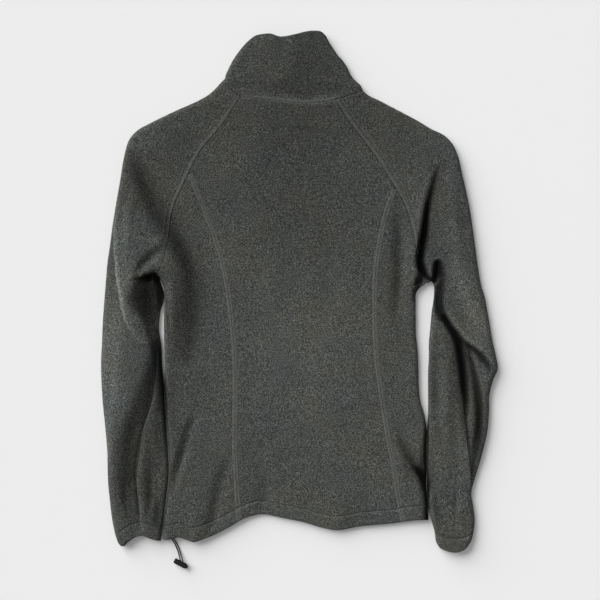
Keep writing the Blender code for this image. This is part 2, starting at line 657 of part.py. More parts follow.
def collar_front(way, fold, sleeve_neck, front_neck):
    """The layer below, from one fold (way -1 left, 1 right) to the zip."""
    neck = np.vstack([fold[:1], sleeve_neck, front_neck])
    shares = share_of(neck)
    edge_x = ZIP_X + way * ZIP_GAP
    corner = np.array([edge_x, curve_value(COLLAR_TOP, edge_x) - COLLAR_FRONT_SHORT])
    edge = spline(COLLAR_TOP, 201)
    edge = edge[edge[:, 0] * way > edge_x * way][::-way]
    top = at_shares(np.vstack([edge, corner]), shares)
    top[1:-1, 1] -= COLLAR_FRONT_SHORT * smooth(shares[1:-1] / COLLAR_FRONT_FROM)
    zip_edge = np.stack([np.full(len(fold), edge_x), np.linspace(neck[-1, 1], corner[1], len(fold))], axis=1)
    plan = patch(neck, top, fold, zip_edge)
    clear = COLLAR_CLEAR * np.linspace(1.0, 0.0, len(fold))[:, None] * (shares > 0)
    plan[:, :, 0] -= way * clear * (shares < 1.0)
    plan[:, :, 1] += clear
    return collar_layer(plan, False, False)


def make_collar(fleece, front_necks, sleeve_necks):
    """A stand collar pressed flat: one sheet from the zip round the left fold, across the back, and round the
    right fold to the zip again. Its seam shares the points of the pieces it is sewn to."""
    count = COLLAR_ROWS + 1
    left, right = spline(COLLAR_LEFT, count), spline(COLLAR_RIGHT, count)
    bottom = collar_seam()
    back = patch(bottom, at_shares(spline(COLLAR_TOP, 201), share_of(bottom)), left, right)
    back[:, :, 1] += COLLAR_CLEAR * np.linspace(1.0, 0.0, count)[:, None]
    back_faces = collar_layer(back, True, True)
    left_faces = collar_front(-1, left, sleeve_necks["left"], front_necks["left"])
    right_faces = collar_front(1, right, sleeve_necks["right"], front_necks["right"])
    outer, inner = (np.concatenate([low[:, :0:-1], top, high[:, 1:]], axis=1)
                    for low, top, high in zip(left_faces, back_faces, right_faces))
    soften(outer, inner)
    wall("collar", outer, inner, fleece)


# ---------------------------------------------------------------- zip

def cloth_below(y):
    """Thickness of the cloth that the zip's tape lies on: the front's, then the collar's."""
    return CLOTH + (COLLAR_CLOTH - CLOTH) * smooth((y - 169.0) / 10.0)


def zip_strip(name, x_from, x_to, above, thick, y_from, y_to, finish):
    """A strip along the zip at a height above the cloth's inner face, following the cloth's lift."""
    flat = np.linspace(y_from, LIFT_FROM_Y, 12)
    lifted = np.linspace(LIFT_FROM_Y, y_to, 14)[1:]
    y = np.concatenate([flat, lifted])
    plan = np.stack(np.meshgrid([x_from, x_to], y), axis=2)
    base = lift(plan[..., 0], plan[..., 1]) + cloth_below(plan[..., 1]) + above
    low = np.dstack([plan, base])
    high = low.copy()
    high[..., 2] += thick
    wall(name, high, low, finish)


def box_points(low, high):
    """Corner points of a box, in metres, and its faces."""
    xs, ys, zs = zip(low, high)
    points = [(x * MM, y * MM, z * MM) for z in zs for y in ys for x in xs]
    faces = [(0, 2, 3, 1), (4, 5, 7, 6), (0, 1, 5, 4), (2, 6, 7, 3), (0, 4, 6, 2), (1, 3, 7, 5)]
    return points, faces


def bevelled(piece, width, segments=2):
    bevel = piece.modifiers.new("edges", "BEVEL")
    bevel.width = width * MM
    bevel.segments = segments
    bevel.limit_method = "ANGLE"
    return piece


def guide(piece):
    """Keep a shape as a boolean's operand only."""
    piece.hide_render = True
    piece.display_type = "WIRE"
    return piece


def combine(piece, others, operation):
    for other in others:
        step = piece.modifiers.new(operation.lower(), "BOOLEAN")
        step.operation = operation
        step.object = guide(other)
    return piece


def make_zip(tape, metal):
    tape_start, tape_end = CHAIN_END_Y - BOX["tape_beside"], SLIDER_Y + 1.0
    for side, way in (("left", -1), ("right", 1)):
        near_chain = ZIP_X + way * (0.5 * CHAIN_WIDTH + SEAM)
        edges = sorted((near_chain, near_chain + way * TAPE_WIDTH))
        zip_strip(f"zip_tape_{side}", *edges, SEAM, TAPE_THICK, tape_start, tape_end, tape)
    zip_strip("zip_chain", ZIP_X - 0.5 * CHAIN_WIDTH, ZIP_X + 0.5 * CHAIN_WIDTH, -CHAIN_THICK, CHAIN_THICK,
              CHAIN_END_Y, tape_end, tape)
    low = (ZIP_X - BOX["half_width"], CHAIN_END_Y - SEAM - BOX["length"], CLOTH - BOX["below"])
    high = (ZIP_X + BOX["half_width"], CHAIN_END_Y - SEAM, CLOTH)
    bevelled(solid("zip_box", *box_points(low, high), tape), 0.5)
    make_slider(metal, tape_end)


def slider_block(name, metal, half_width, y, z):
    """A block of the slider, astride the zip: y and z are its two limits, y from the slider's middle."""
    low = (ZIP_X - half_width, SLIDER_Y + y[0], z[0])
    high = (ZIP_X + half_width, SLIDER_Y + y[1], z[1])
    return solid(name, *box_points(low, high), metal)


def make_slider(metal, tape_end):
    """Two plates joined by a post beyond the tape's end, and a bridge below them for the pull tab."""
    half, long, plate = 0.5 * SLIDER["width"], 0.5 * SLIDER["length"], SLIDER["plate"]
    low_plate = LIFT + COLLAR_CLOTH - CHAIN_THICK - SEAM - plate
    high_plate = LIFT + COLLAR_CLOTH + SEAM + TAPE_THICK + SEAM
    slider = slider_block("zip_slider", metal, half, (-long, long), (low_plate, low_plate + plate))
    upper = slider_block("slider_back_plate", metal, half, (-long, long), (high_plate, high_plate + plate))
    post = slider_block("slider_post", metal, POST["half_width"],
                        (tape_end - SLIDER_Y + POST["from_tape"], long - POST["from_end"]),
                        (low_plate + OVERLAP, high_plate + plate - OVERLAP))
    leg, bar_low = BRIDGE["leg"], low_plate - BRIDGE["height"]
    ends = (BRIDGE["low_end"], BRIDGE["high_end"])
    bridge = [slider_block("slider_bridge", metal, BRIDGE["half_width"], y, (bar_low, top))
              for y, top in ((ends, bar_low + leg), ((ends[0], ends[0] + leg), low_plate + OVERLAP),
                             ((ends[1] - leg, ends[1]), low_plate + OVERLAP))]
    combine(slider, [upper, post, *bridge], "UNION")
    make_pull(metal, SLIDER_Y + 1.0, 0.5 * (low_plate + bar_low + leg))


def make_pull(metal, hinge_y, hinge_z):
    """The pull tab: a round-ended plate with a slot, whose cross bar sits in the slider's bridge. Its origin
    is on the hinge, and it lies under the chain, towards the hem."""
    around = PULL["around"]
    angle = np.linspace(0.0, 2.0 * math.pi, around, endpoint=False) + math.pi / around
    half, bar = 0.5 * PULL["width"], PULL["bar"]
    top, bottom = 0.5 * bar, 0.5 * bar - PULL["length"]
    slot_top, slot_bottom = -0.5 * bar, -0.5 * bar - PULL["slot_length"]

    def ring(half_width, high, low, power):
        """A rectangle with rounded ends: a superellipse of the given power."""
        x = half_width * np.sign(np.cos(angle)) * np.abs(np.cos(angle)) ** power
        y = 0.5 * (high + low) + 0.5 * (high - low) * np.sign(np.sin(angle)) * np.abs(np.sin(angle)) ** power
        return np.stack([x, y], axis=1)

    outline = ring(half, top, bottom, 0.42)
    slot = ring(0.5 * PULL["slot_width"], slot_top, slot_bottom, 0.4)
    points, faces = [], []
    for z in (-0.5 * PULL["thick"], 0.5 * PULL["thick"]):
        for line in (outline, slot):
            points.extend((x * MM, y * MM, z * MM) for x, y in line)
    for k in range(around):
        n = (k + 1) % around
        for a, b in ((0, 1), (1, 3), (3, 2), (2, 0)):
            faces.append((a * around + k, a * around + n, b * around + n, b * around + k))
    pull = solid("pull_tab", points, faces, metal)
    pull.location = (ZIP_X * MM, hinge_y * MM, hinge_z * MM)
    pull.rotation_euler = (PULL_REST, 0.0, 0.0)


# ---------------------------------------------------------------- drawcord and cord lock

def make_cord(plastic):
    """The two strands of the hem's cord, side by side from inside the hem to the cord lock."""
    route = spline(CORD_ROUTE, CORD_POINTS)
    run = np.gradient(route, axis=0)
    sideways = np.stack([-run[:, 1], run[:, 0], np.zeros(len(run))], axis=1)
    sideways /= np.linalg.norm(sideways, axis=1, keepdims=True)
    spacing = np.linspace(*CORD_PITCH, len(route))[:, None]
    for name, way in (("drawcord_1", -1), ("drawcord_2", 1)):
        points = route + sideways * way * 0.5 * spacing
        curve = bpy.data.curves.new(name, "CURVE")
        curve.dimensions = "3D"
        curve.bevel_depth = 0.5 * CORD * MM
        curve.bevel_resolution = 2
        curve.use_fill_caps = True
        line = curve.splines.new("POLY")
        line.points.add(len(points) - 1)
        for point, place in zip(line.points, points * MM):
            point.co = (*place, 1.0)
        curve.materials.append(plastic)
        bpy.context.scene.collection.objects.link(bpy.data.objects.new(name, curve))


def turned(name, profile, finish, around=LOCK_AROUND):
    """A round solid about its X axis, from a profile of (along, radius) that starts and ends on the axis."""
    points = [(profile[0][0] * MM, 0.0, 0.0)]
    for along, radius in profile[1:-1]:
        for k in range(around):
            angle = 2.0 * math.pi * k / around
            points.append((along * MM, radius * math.cos(angle) * MM, radius * math.sin(angle) * MM))
    points.append((profile[-1][0] * MM, 0.0, 0.0))
    last = len(points) - 1
    faces = []
    for k in range(around):
        n = (k + 1) % around
        faces.append((0, 1 + k, 1 + n))
        faces.append((last, last - around + n, last - around + k))
        for ring in range(len(profile) - 3):
            a, b = 1 + ring * around, 1 + (ring + 1) * around
            faces.append((a + k, b + k, b + n, a + n))
    return solid(name, points, faces, finish)


def place_on_lock(piece, along):
    """Put a turned piece on the cord lock's axis, so far along it."""
    x = LOCK_END[0] + along * math.cos(LOCK_TURN)
    y = LOCK_END[1] + along * math.sin(LOCK_TURN)
    piece.location = (x * MM, y * MM, LOCK_RADIUS * MM)
    piece.rotation_euler = (0.0, 0.0, LOCK_TURN)
    return piece


def make_cord_lock(plastic):
    """A barrel with a bore for its plunger and a slot for the cord, on its side on the floor."""
    radius, length = LOCK_RADIUS, LOCK_LENGTH
    bore, depth = LOCK_BORE["radius"], LOCK_BORE["depth"]
    barrel = turned("cord_lock_barrel", [(0.0, 0.0), (0.0, 2.3), (0.4, 3.0), (1.0, 3.4), (1.8, radius),
                                         (length - 0.5, radius), (length, radius - 0.5), (length, bore),
                                         (length - depth, bore), (length - depth, 0.0)], plastic)
    slot_from = LOCK_SLOT["along"] - 0.5 * LOCK_SLOT["length"]
    low = (slot_from, radius - LOCK_SLOT["depth"], -0.5 * LOCK_SLOT["height"])
    high = (slot_from + LOCK_SLOT["length"], radius + 1.0, 0.5 * LOCK_SLOT["height"])
    slot = solid("cord_slot", *box_points(low, high), plastic)
    combine(barrel, [slot], "DIFFERENCE")
    place_on_lock(barrel, 0.0)
    place_on_lock(slot, 0.0)
    r, inside, outside = PLUNGER["radius"], PLUNGER["inside"], PLUNGER["outside"]
    plunger = turned("cord_lock_plunger", [(-inside, 0.0), (-inside, r), (outside - 0.9, r),
                                           (outside - 0.3, r - 0.35), (outside, r - 1.1), (outside, 0.0)], plastic)
    place_on_lock(plunger, length)


def main():
    clear_scene()
    fleece = material("fleece", COLOURS["fleece"], 0.95)
    tape = material("zip_tape", COLOURS["tape"], 0.8)
    metal = material("zip_metal", COLOURS["metal"], 0.35, 1.0)
    plastic = material("cord_plastic", COLOURS["plastic"], 0.4)
    make_centre_back(fleece)
    make_side_back(fleece, "left", PRINCESS_LEFT)
    make_side_back(fleece, "right", PRINCESS_RIGHT)
    front_necks = {"left": make_front(fleece, "left", ZIP_X - ZIP_GAP),
                   "right": make_front(fleece, "right", ZIP_X + ZIP_GAP)}
    sleeve_necks = {side: make_sleeve(fleece, side) for side in ("left", "right")}
    make_collar(fleece, front_necks, sleeve_necks)
    make_zip(tape, metal)
    make_cord(plastic)
    make_cord_lock(plastic)


main()
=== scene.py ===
# %% [markdown]
# # A fleece zip jacket, laid flat on its front
#
# The jacket is eight pieces of brushed fleece: a centre back, two side backs, two fronts, two raglan
# sleeves and a stand collar, with a zip in front and an elastic cord in the hem. It lies on its front, so
# the back shows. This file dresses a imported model. The model holds each piece at its real size, and the
# cells below put a finer surface, a material and the sewing in its place, one piece after another.

# %% Load the model and measure it
import json
import math

import bpy
import numpy as np
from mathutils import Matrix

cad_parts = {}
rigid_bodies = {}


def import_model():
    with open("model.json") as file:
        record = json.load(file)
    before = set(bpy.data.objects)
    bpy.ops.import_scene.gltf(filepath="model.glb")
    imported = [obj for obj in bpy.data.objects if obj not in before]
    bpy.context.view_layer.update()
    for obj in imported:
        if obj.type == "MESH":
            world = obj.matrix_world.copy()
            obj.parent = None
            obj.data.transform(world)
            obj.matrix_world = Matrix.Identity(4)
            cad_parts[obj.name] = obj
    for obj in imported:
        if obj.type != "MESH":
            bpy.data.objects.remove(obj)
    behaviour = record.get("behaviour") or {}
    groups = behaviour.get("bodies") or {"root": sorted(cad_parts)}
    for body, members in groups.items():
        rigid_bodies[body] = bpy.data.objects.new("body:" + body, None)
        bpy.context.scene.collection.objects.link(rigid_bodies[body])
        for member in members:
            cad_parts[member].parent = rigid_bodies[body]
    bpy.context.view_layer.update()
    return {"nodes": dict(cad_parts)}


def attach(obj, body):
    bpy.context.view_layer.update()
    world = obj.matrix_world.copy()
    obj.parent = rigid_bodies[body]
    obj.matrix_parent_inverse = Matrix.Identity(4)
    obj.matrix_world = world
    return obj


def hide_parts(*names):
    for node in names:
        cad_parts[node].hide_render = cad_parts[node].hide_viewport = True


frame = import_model()
MM = 0.001

# %% [markdown]
# ## Camera, floor and light
#
# A garment that is laid out is looked at from straight above, through a long lens, so that its outline
# isn't bent. The camera looks down from two metres. Two soft lights do the work: one straight above, which
# keeps the shadows pale, and a wide low window at the upper left, which draws the nap and leaves a broad
# soft shadow below and to the right of each edge. Sun lamps with wide angles light the whole floor evenly.
# The world's light is the pale room.

# %% Camera
VIEW_CENTRE, CAMERA_HEIGHT = (0.0004, -0.0117), 1.965
LENS, SENSOR = 85.0, 36.0
scene_objects = bpy.context.scene.collection.objects

camera_data = bpy.data.cameras.new("camera")
camera_data.lens = LENS
camera_data.sensor_width = SENSOR
camera = bpy.data.objects.new("camera", camera_data)
camera.location = (*VIEW_CENTRE, CAMERA_HEIGHT)
scene_objects.link(camera)
bpy.context.scene.camera = camera
bpy.context.scene.view_settings.view_transform = "Standard"

# %% Floor and lights
def shader_material(name, colour, roughness, **sockets):
    """A material with plain values on its shader: the material, its nodes, its links and the shader."""
    made = bpy.data.materials.new(name)
    made.use_nodes = True
    tree = made.node_tree
    shader = tree.nodes["Principled BSDF"]
    shader.inputs["Base Color"].default_value = (*colour, 1.0)
    shader.inputs["Roughness"].default_value = roughness
    for socket, value in sockets.items():
        shader.inputs[socket.replace("_", " ")].default_value = value
    return made, tree.nodes, tree.links, shader


def sun_lamp(name, place, strength, spread):
    """A sun that shines from place towards the origin, with a spread in degrees that softens its shadows."""
    data = bpy.data.lights.new(name, "SUN")
    data.energy = strength
    data.angle = math.radians(spread)
    lamp = bpy.data.objects.new(name, data)
    lamp.location = place
    lamp.rotation_euler = (math.acos(place[2] / np.linalg.norm(place)), 0.0, math.atan2(place[0], -place[1]))
    scene_objects.link(lamp)


FLOOR_HALF, FLOOR_LEVEL = 3.0, -0.0004      # the floor is a hair below the cloth, so that the two don't mix
FLOOR_COLOUR = (0.80, 0.80, 0.80)
CORNERS = [(-1, -1), (1, -1), (1, 1), (-1, 1)]
ROOM_LIGHT = 0.20

floor_corners = [(x * FLOOR_HALF, y * FLOOR_HALF, FLOOR_LEVEL) for x, y in CORNERS]
floor_mesh = bpy.data.meshes.new("floor")
floor_mesh.from_pydata(floor_corners, [], [(0, 1, 2, 3)])
floor = bpy.data.objects.new("floor", floor_mesh)
scene_objects.link(floor)
floor_mesh.materials.append(shader_material("floor_paper", FLOOR_COLOUR, 0.9)[0])

world = bpy.data.worlds.new("studio")
world.use_nodes = True
background = world.node_tree.nodes["Background"].inputs
background["Color"].default_value = (1.0, 1.0, 1.0, 1.0)
background["Strength"].default_value = ROOM_LIGHT
bpy.context.scene.world = world
sun_lamp("ceiling", (-0.05, 0.07, 1.5), 0.50, 30.0)
sun_lamp("window", (-1.0, 0.92, 0.60), 5.3, 60.0)
print("camera at", tuple(round(v, 3) for v in camera.location))

# %% [markdown]
# ## Drawing with rows and curves
#
# Every piece of cloth here is a grid of points. Its long sides are curves through a few measured places, a
# row joins the two sides, and the points of a row stand closer together where the cloth turns or is
# stitched. These helpers read smooth curves out of short tables. All tables are in millimetres.

# %% Curves through tables
def smooth(value):
    """0 below 0, 1 above 1 and an even S between: 3t^2 - 2t^3."""
    t = np.clip(value, 0.0, 1.0)
    return t * t * (3.0 - 2.0 * t)


def catmull(a, b, c, d, t):
    """The Catmull-Rom curve between b and c, with a and d as their neighbours."""
    bend, twist = 2 * a - 5 * b + 4 * c - d, 3 * b - a - 3 * c + d
    return 0.5 * (2 * b + (c - a) * t + bend * t ** 2 + twist * t ** 3)


def at_rows(table, places):
    """Read a curve through a table at row places, 0 for the first row and 0.5 for halfway to the second."""
    p = np.asarray(table, float)
    ends = np.vstack([2 * p[0] - p[1], p, 2 * p[-1] - p[-2]])
    i = np.clip(np.floor(places).astype(int), 0, len(p) - 2)
    return catmull(ends[i], ends[i + 1], ends[i + 2], ends[i + 3], (places - i)[:, None])


def lengths(line):
    """How far along a line of points each point is."""
    steps = np.linalg.norm(np.diff(line, axis=0), axis=1)
    return np.concatenate([[0.0], np.cumsum(steps)])


def spline(table, count):
    """count points along the curve through a table, evenly spread by length."""
    fine = at_rows(table, np.linspace(0.0, len(table) - 1.0, 16 * len(table)))
    run = lengths(fine)
    even = np.linspace(0.0, run[-1], count)
    return np.stack([np.interp(even, run, fine[:, k]) for k in range(fine.shape[1])], axis=1)


def curve_value(table, at):
    """Read a smooth curve given as rows of (place, value)."""
    line = spline(table, 200)
    order = np.argsort(line[:, 0])
    return np.interp(at, line[order, 0], line[order, 1])


NEAR_STITCH, NEAR_EDGE = 2.2, 2.4       # even rows closer than this to a stitched line or a hem's edge go
BESIDE_STITCH = np.array([-1.5, -0.9, -0.4, 0.0, 0.4, 0.9, 1.5])    # rows round a stitched line
AT_EDGE = np.array([1.6, 1.0, 0.55, 0.25, 0.08])                    # rows above a hem's edge, where it turns


def row_places(table, pitch, stitched):
    """Row places a pitch apart down a table of points, with more of them round a stitched line, which lies so
    far above the last row, and at the last row, where the cloth turns under."""
    fine = np.linspace(0.0, len(table) - 1.0, 40 * len(table))
    run = lengths(at_rows(table, fine))
    total = run[-1]
    even = np.linspace(0.0, total, int(round(total / pitch)) + 1)
    clear = np.abs(even - (total - stitched)) > NEAR_STITCH
    even = even[clear & ((even < total - NEAR_EDGE) | (even == total))]
    rows = np.sort(np.concatenate([even, total - stitched + BESIDE_STITCH, total - AT_EDGE]))
    return np.interp(rows, run, fine), np.interp(total - stitched, run, fine)

# %% [markdown]
# ## The cut of the jacket
#
# These tables are the outline and the seams as the jacket lies. Body rows run from fold to fold down the
# back. The first thirteen end on the raglan seams, which part the sleeves from the body, and the rest on
# the side folds.

# %% Body
BODY_ROWS = np.array([          # left x, left y, right x, right y
    (-82.4, 268, 49.5, 264.4),
    (-92.7, 252, 61.1, 246),
    (-103.8, 235, 74.9, 226),
    (-118.3, 217, 91.5, 205),
    (-134.1, 199, 106.7, 184),
    (-144.5, 181, 119.8, 164),
    (-152.8, 165, 132.2, 144),
    (-162.4, 144, 144.6, 122),
    (-172.1, 122, 152.2, 100),
    (-178.3, 99, 157.0, 78),
    (-181.3, 74, 159.8, 56),
    (-187.3, 48, 164.6, 34),
    (-194.2, 23, 174.3, 13),
    (-190.6, 12, 166.7, 6),
    (-187.3, 1, 160.9, -3),
    (-187.0, -14, 160.5, -17),
    (-188.0, -37, 160.5, -38),
    (-187.8, -60, 160.9, -60),
    (-186.9, -83, 163.3, -83),
    (-186.5, -106, 164.2, -106),
    (-187.3, -129, 164.7, -129),
    (-186.0, -152, 166.6, -150),
    (-184.8, -172, 172.5, -171),
    (-183.4, -193, 175.6, -191),
    (-182.2, -214, 175.5, -212),
    (-180.2, -235, 175.5, -234),
    (-181.4, -255, 175.5, -255),
    (-185.4, -276, 175.6, -275),
    (-188.8, -297, 176.6, -294),
    (-191.2, -318, 178.2, -316),
])
LAST_ROW = len(BODY_ROWS) - 1
PRINCESS_ROW = 6
ARMPIT = 12
FRONT_NECK_ROW = 2
PRINCESS_LEFT = [(165, -152.8), (117, -133.4), (70, -115.5), (17, -101.7), (-46, -93.4), (-104, -89.3),
                 (-179, -89.3), (-231, -89.0), (-318, -83.8)]             # y, x
PRINCESS_RIGHT = [(144, 132.2), (101, 117.7), (43, 106.7), (-9, 103.9), (-72, 105.3), (-126, 110.8),
                  (-190, 120.5), (-242, 130.1), (-316, 142.8)]            # y, x
HEM = [(-191, -340), (-183, -342), (-173, -340), (-165, -339), (-149, -345), (-138, -343.3), (-118, -335.9),
       (-96, -324.6), (-80, -315.2), (-66, -310.2), (-49, -308), (-22, -313.4), (3, -318.4), (36, -328),
       (56, -329.8), (86, -325), (125, -321.6), (160, -317.2), (180, -316.6)]       # x, y
HEM_LEVEL = -317.0
HEM_FRONT_SHORT = 3.0
FRONT_NECK = [(-103.8, 235), (-84, 208), (-52, 190), (-15, 181), (22, 188), (54, 203), (74.9, 226)]   # x, y

# %% Sleeves
SHOULDER_LEFT = [(-107.3, 290.9), (-121.5, 276), (-138, 265.2), (-168, 251.7), (-189, 241.8), (-208, 232.3),
                 (-224, 223.3), (-236.6, 208.5), (-243.5, 184), (-248.4, 154), (-253.7, 124), (-259.2, 90),
                 (-263.2, 60)]          # x, y
SHOULDER_RIGHT = [(87.6, 277.6), (97, 270.4), (113, 262.8), (140, 248.7), (162, 237.1), (181, 225.5),
                  (199.2, 216.5), (211.7, 203.6), (219.4, 186), (224.3, 165), (229.9, 140), (236, 110),
                  (241.5, 71)]              # x, y
ARM_LEFT = [                    # inner x, inner y, outer x, outer y
    (-191.6, 10, -266.2, 39),
    (-188.2, -1, -267.9, 19),
    (-188.0, -12, -269.4, -1),
    (-193, -28, -271, -21),
    (-195, -52, -272.6, -46),
    (-191.4, -75, -273.7, -72),
    (-190.2, -100, -274.9, -99),
    (-187.9, -125, -274.3, -125),
    (-186.8, -150, -272.8, -150),
    (-185.4, -173, -270.3, -175),
    (-184.2, -197, -268.1, -198),
    (-182.7, -220, -266.2, -221),
    (-181.4, -242, -265.7, -245),
    (-182.2, -263, -264.9, -267),
    (-184.4, -281, -263, -286),
    (-187.0, -299, -260.8, -304),
    (-189.7, -318, -257.6, -321),
    (-191.4, -332, -254.8, -333),
    (-192.1, -342, -251, -344),
]
ARM_RIGHT = [                   # inner x, inner y, outer x, outer y
    (183, 14, 246.4, 35),
    (185.8, 6, 250.7, 10),
    (185.7, -8, 256, -8),
    (182.7, -28, 259.6, -27),
    (180.7, -50, 263.4, -49),
    (178.7, -72, 267.2, -71),
    (178.7, -92, 271.6, -90),
    (177.7, -107, 274, -107),
    (177.5, -122, 267.9, -122),
    (177.6, -143, 262.6, -143),
    (177.6, -166, 262, -166),
    (176.3, -191, 260, -191),
    (176.1, -215, 255, -215),
    (176.1, -237, 249, -237),
    (176.1, -259, 242.4, -259),
    (176.3, -279, 237.4, -279),
    (177.0, -297, 240, -297),
    (181.8, -314, 242, -314),
    (186.4, -329, 241, -329),
    (188.4, -343, 238, -343),
    (193.6, -352, 233, -352),
]
CUFF_LEFT = [(0, 2.5), (0.2, -1), (0.4, -5.2), (0.6, -3.8), (0.8, 3), (0.9, 8), (1, 4)]   # share, y
CUFF_RIGHT = [(0, 2.5), (0.2, 6), (0.5, 8.5), (0.8, 6), (1, 0)]       # share, y
NECK_UNDER_LEFT = [(-102, 281), (-104.5, 257)]      # x, y
NECK_UNDER_RIGHT = [(84, 268), (79, 250)]

# %% Collar
COLLAR_LEFT = [(-107.3, 290.9), (-103.6, 294.6), (-102, 300.6), (-97.4, 310.4), (-92.6, 319.6),
               (-86.5, 329), (-79.8, 337.6), (-72.5, 345.5), (-65, 352)]
COLLAR_RIGHT = [(87.6, 277.6), (84.4, 285), (77.5, 291.2), (71, 299), (65.5, 310.5), (59.4, 319.6),
                (53.4, 326.2), (46.4, 336.2), (41, 344.6), (36.5, 353.5)]
COLLAR_TOP = [(-65, 352), (-56, 355.2), (-41, 356.4), (-27, 352.3), (-10, 354.3), (12, 359.6), (27.5, 360),
              (36.5, 353.5)]
COLLAR_SEAM = [(-107.3, 290.9), (-82.4, 268), (-69, 267), (-34, 264), (3, 260), (28, 261), (49.5, 264.4),
               (87.6, 277.6)]

# %% Cloth
CLOTH = 2.6                     # fleece wall
COLLAR_CLOTH = 3.2              # the collar's, which is doubled and pressed
SEAM = 0.3                      # gap at a seam
ROLL = 8.0                      # how far in from a folded edge the cloth starts to turn down
LIE_BODY, LIE_SLEEVE, LIE_COLLAR = 7.0, 10.5, 9.5
LIE_LOWEST, LIE_HIGHEST = 3.5, 19.0
ZIP_X, ZIP_GAP = -15.0, 6.0
LIFT = 4.0                      # the cloth rides this high over the slider
LIFT_FROM_Y, LIFT_FULL_Y, LIFT_HALF_WIDTH = 235.0, 318.0, 42.0
OVER_SLIDER = 0.92
HEM_STITCH, CUFF_STITCH = 20.0, 19.0    # a hem's stitched line above its edge
ROW_PITCH = 2.1
SLEEVE_CLEAR, COLLAR_CLEAR = 0.2, 0.12  # how far the sleeves' and collar's first rows lie off their seam
COLLAR_FRONT_SHORT = 4.0        # the collar's front edge lies this far below the back one

# %% [markdown]
# ## How the uppermost cloth lies
#
# Cloth that is put down flat keeps the marks of the arm and the elbow. Three shapes are enough to say them
# all: a ridge or a trough, a bell across its path, and a lip, where the cloth on one side has slid over
# the other. A lip has a round nose and hangs over, so its points move sideways as well as up. Each fold is
# one row of a table, with its own heights along the way, so that none is even from end to end.

# %% Folds
# Rows: form, heights along the path, width, reach (lips), overhang (lips), path (x, y). A lip is high on
# the left of its path and low on the right.
LEFT_SLEEVE_FOLDS = [
    ("lip", (0, 4, 5, 5.5, 5, 4, 1), 2.6, 13, 1.6, [(-257, 100), (-255, 52), (-252, 20), (-248, -5),
     (-240, -40), (-221, -70), (-207, -79)]),
    ("trough", (0, 2.5, 4.5, 4, 1), 6.0, 0, 0, [(-186, 62), (-200, 52), (-214, 41), (-229, 21)]),
    ("lip", (3, 9, 9.5, 8, 2), 2.4, 13, 4.0, [(-231, 18), (-216, 23), (-203, 29), (-195, 26), (-190, 14)]),
    ("trough", (5, 7.5, 7.5, 5, 2), 13.0, 0, 0, [(-207, 16), (-205, -6), (-203, -28), (-203, -62)]),
    ("trough", (3, 3, 1), 6.0, 0, 0, [(-198, 20), (-194, 4), (-194, -14)]),
    ("lip", (2, 6, 9, 9.5, 9.5, 8.5, 7, 3), 2.2, 15, 3.0, [(-195, -74), (-196.5, -115), (-201, -150),
     (-213, -188), (-219, -225), (-223, -262), (-220, -297), (-217, -328)]),
    ("trough", (0, 2.5, 3, 2, 0), 10.0, 0, 0, [(-214, -120), (-228, -175), (-235, -225), (-236, -275),
     (-232, -320)]),
    ("ridge", (0, 2.0, 1.5, 0), 9.0, 0, 0, [(-252, -110), (-257, -170), (-260, -240), (-257, -300)]),
    ("trough", (0, 2.6, 2.2, 0), 4.5, 0, 0, [(-207, -240), (-206, -276), (-208, -312)]),
    ("trough", (0, 2.4, 2.2, 0.5), 5.0, 0, 0, [(-193, -282), (-195, -304), (-196, -330)]),
    ("ridge", (0, 1.6, 1.4, 0), 6.0, 0, 0, [(-202, -150), (-199, -200), (-197, -250)]),
    ("trough", (0, 1.6, 0), 3.5, 0, 0, [(-243, -258), (-242, -282), (-238, -310)]),
    ("ridge", (0, 1.6, 1.4, 0), 7.0, 0, 0, [(-224, 150), (-234, 110), (-238, 60), (-236, 20)]),
    ("trough", (0, 2.6, 3.0, 2.4, 0), 9.0, 0, 0, [(-230, 172), (-219, 151), (-205, 122), (-195, 100),
     (-188, 74)]),
    ("ridge", (0, 1.8, 1.4, 0), 6.0, 0, 0, [(-205, 62), (-196, 66), (-184, 72)]),
]
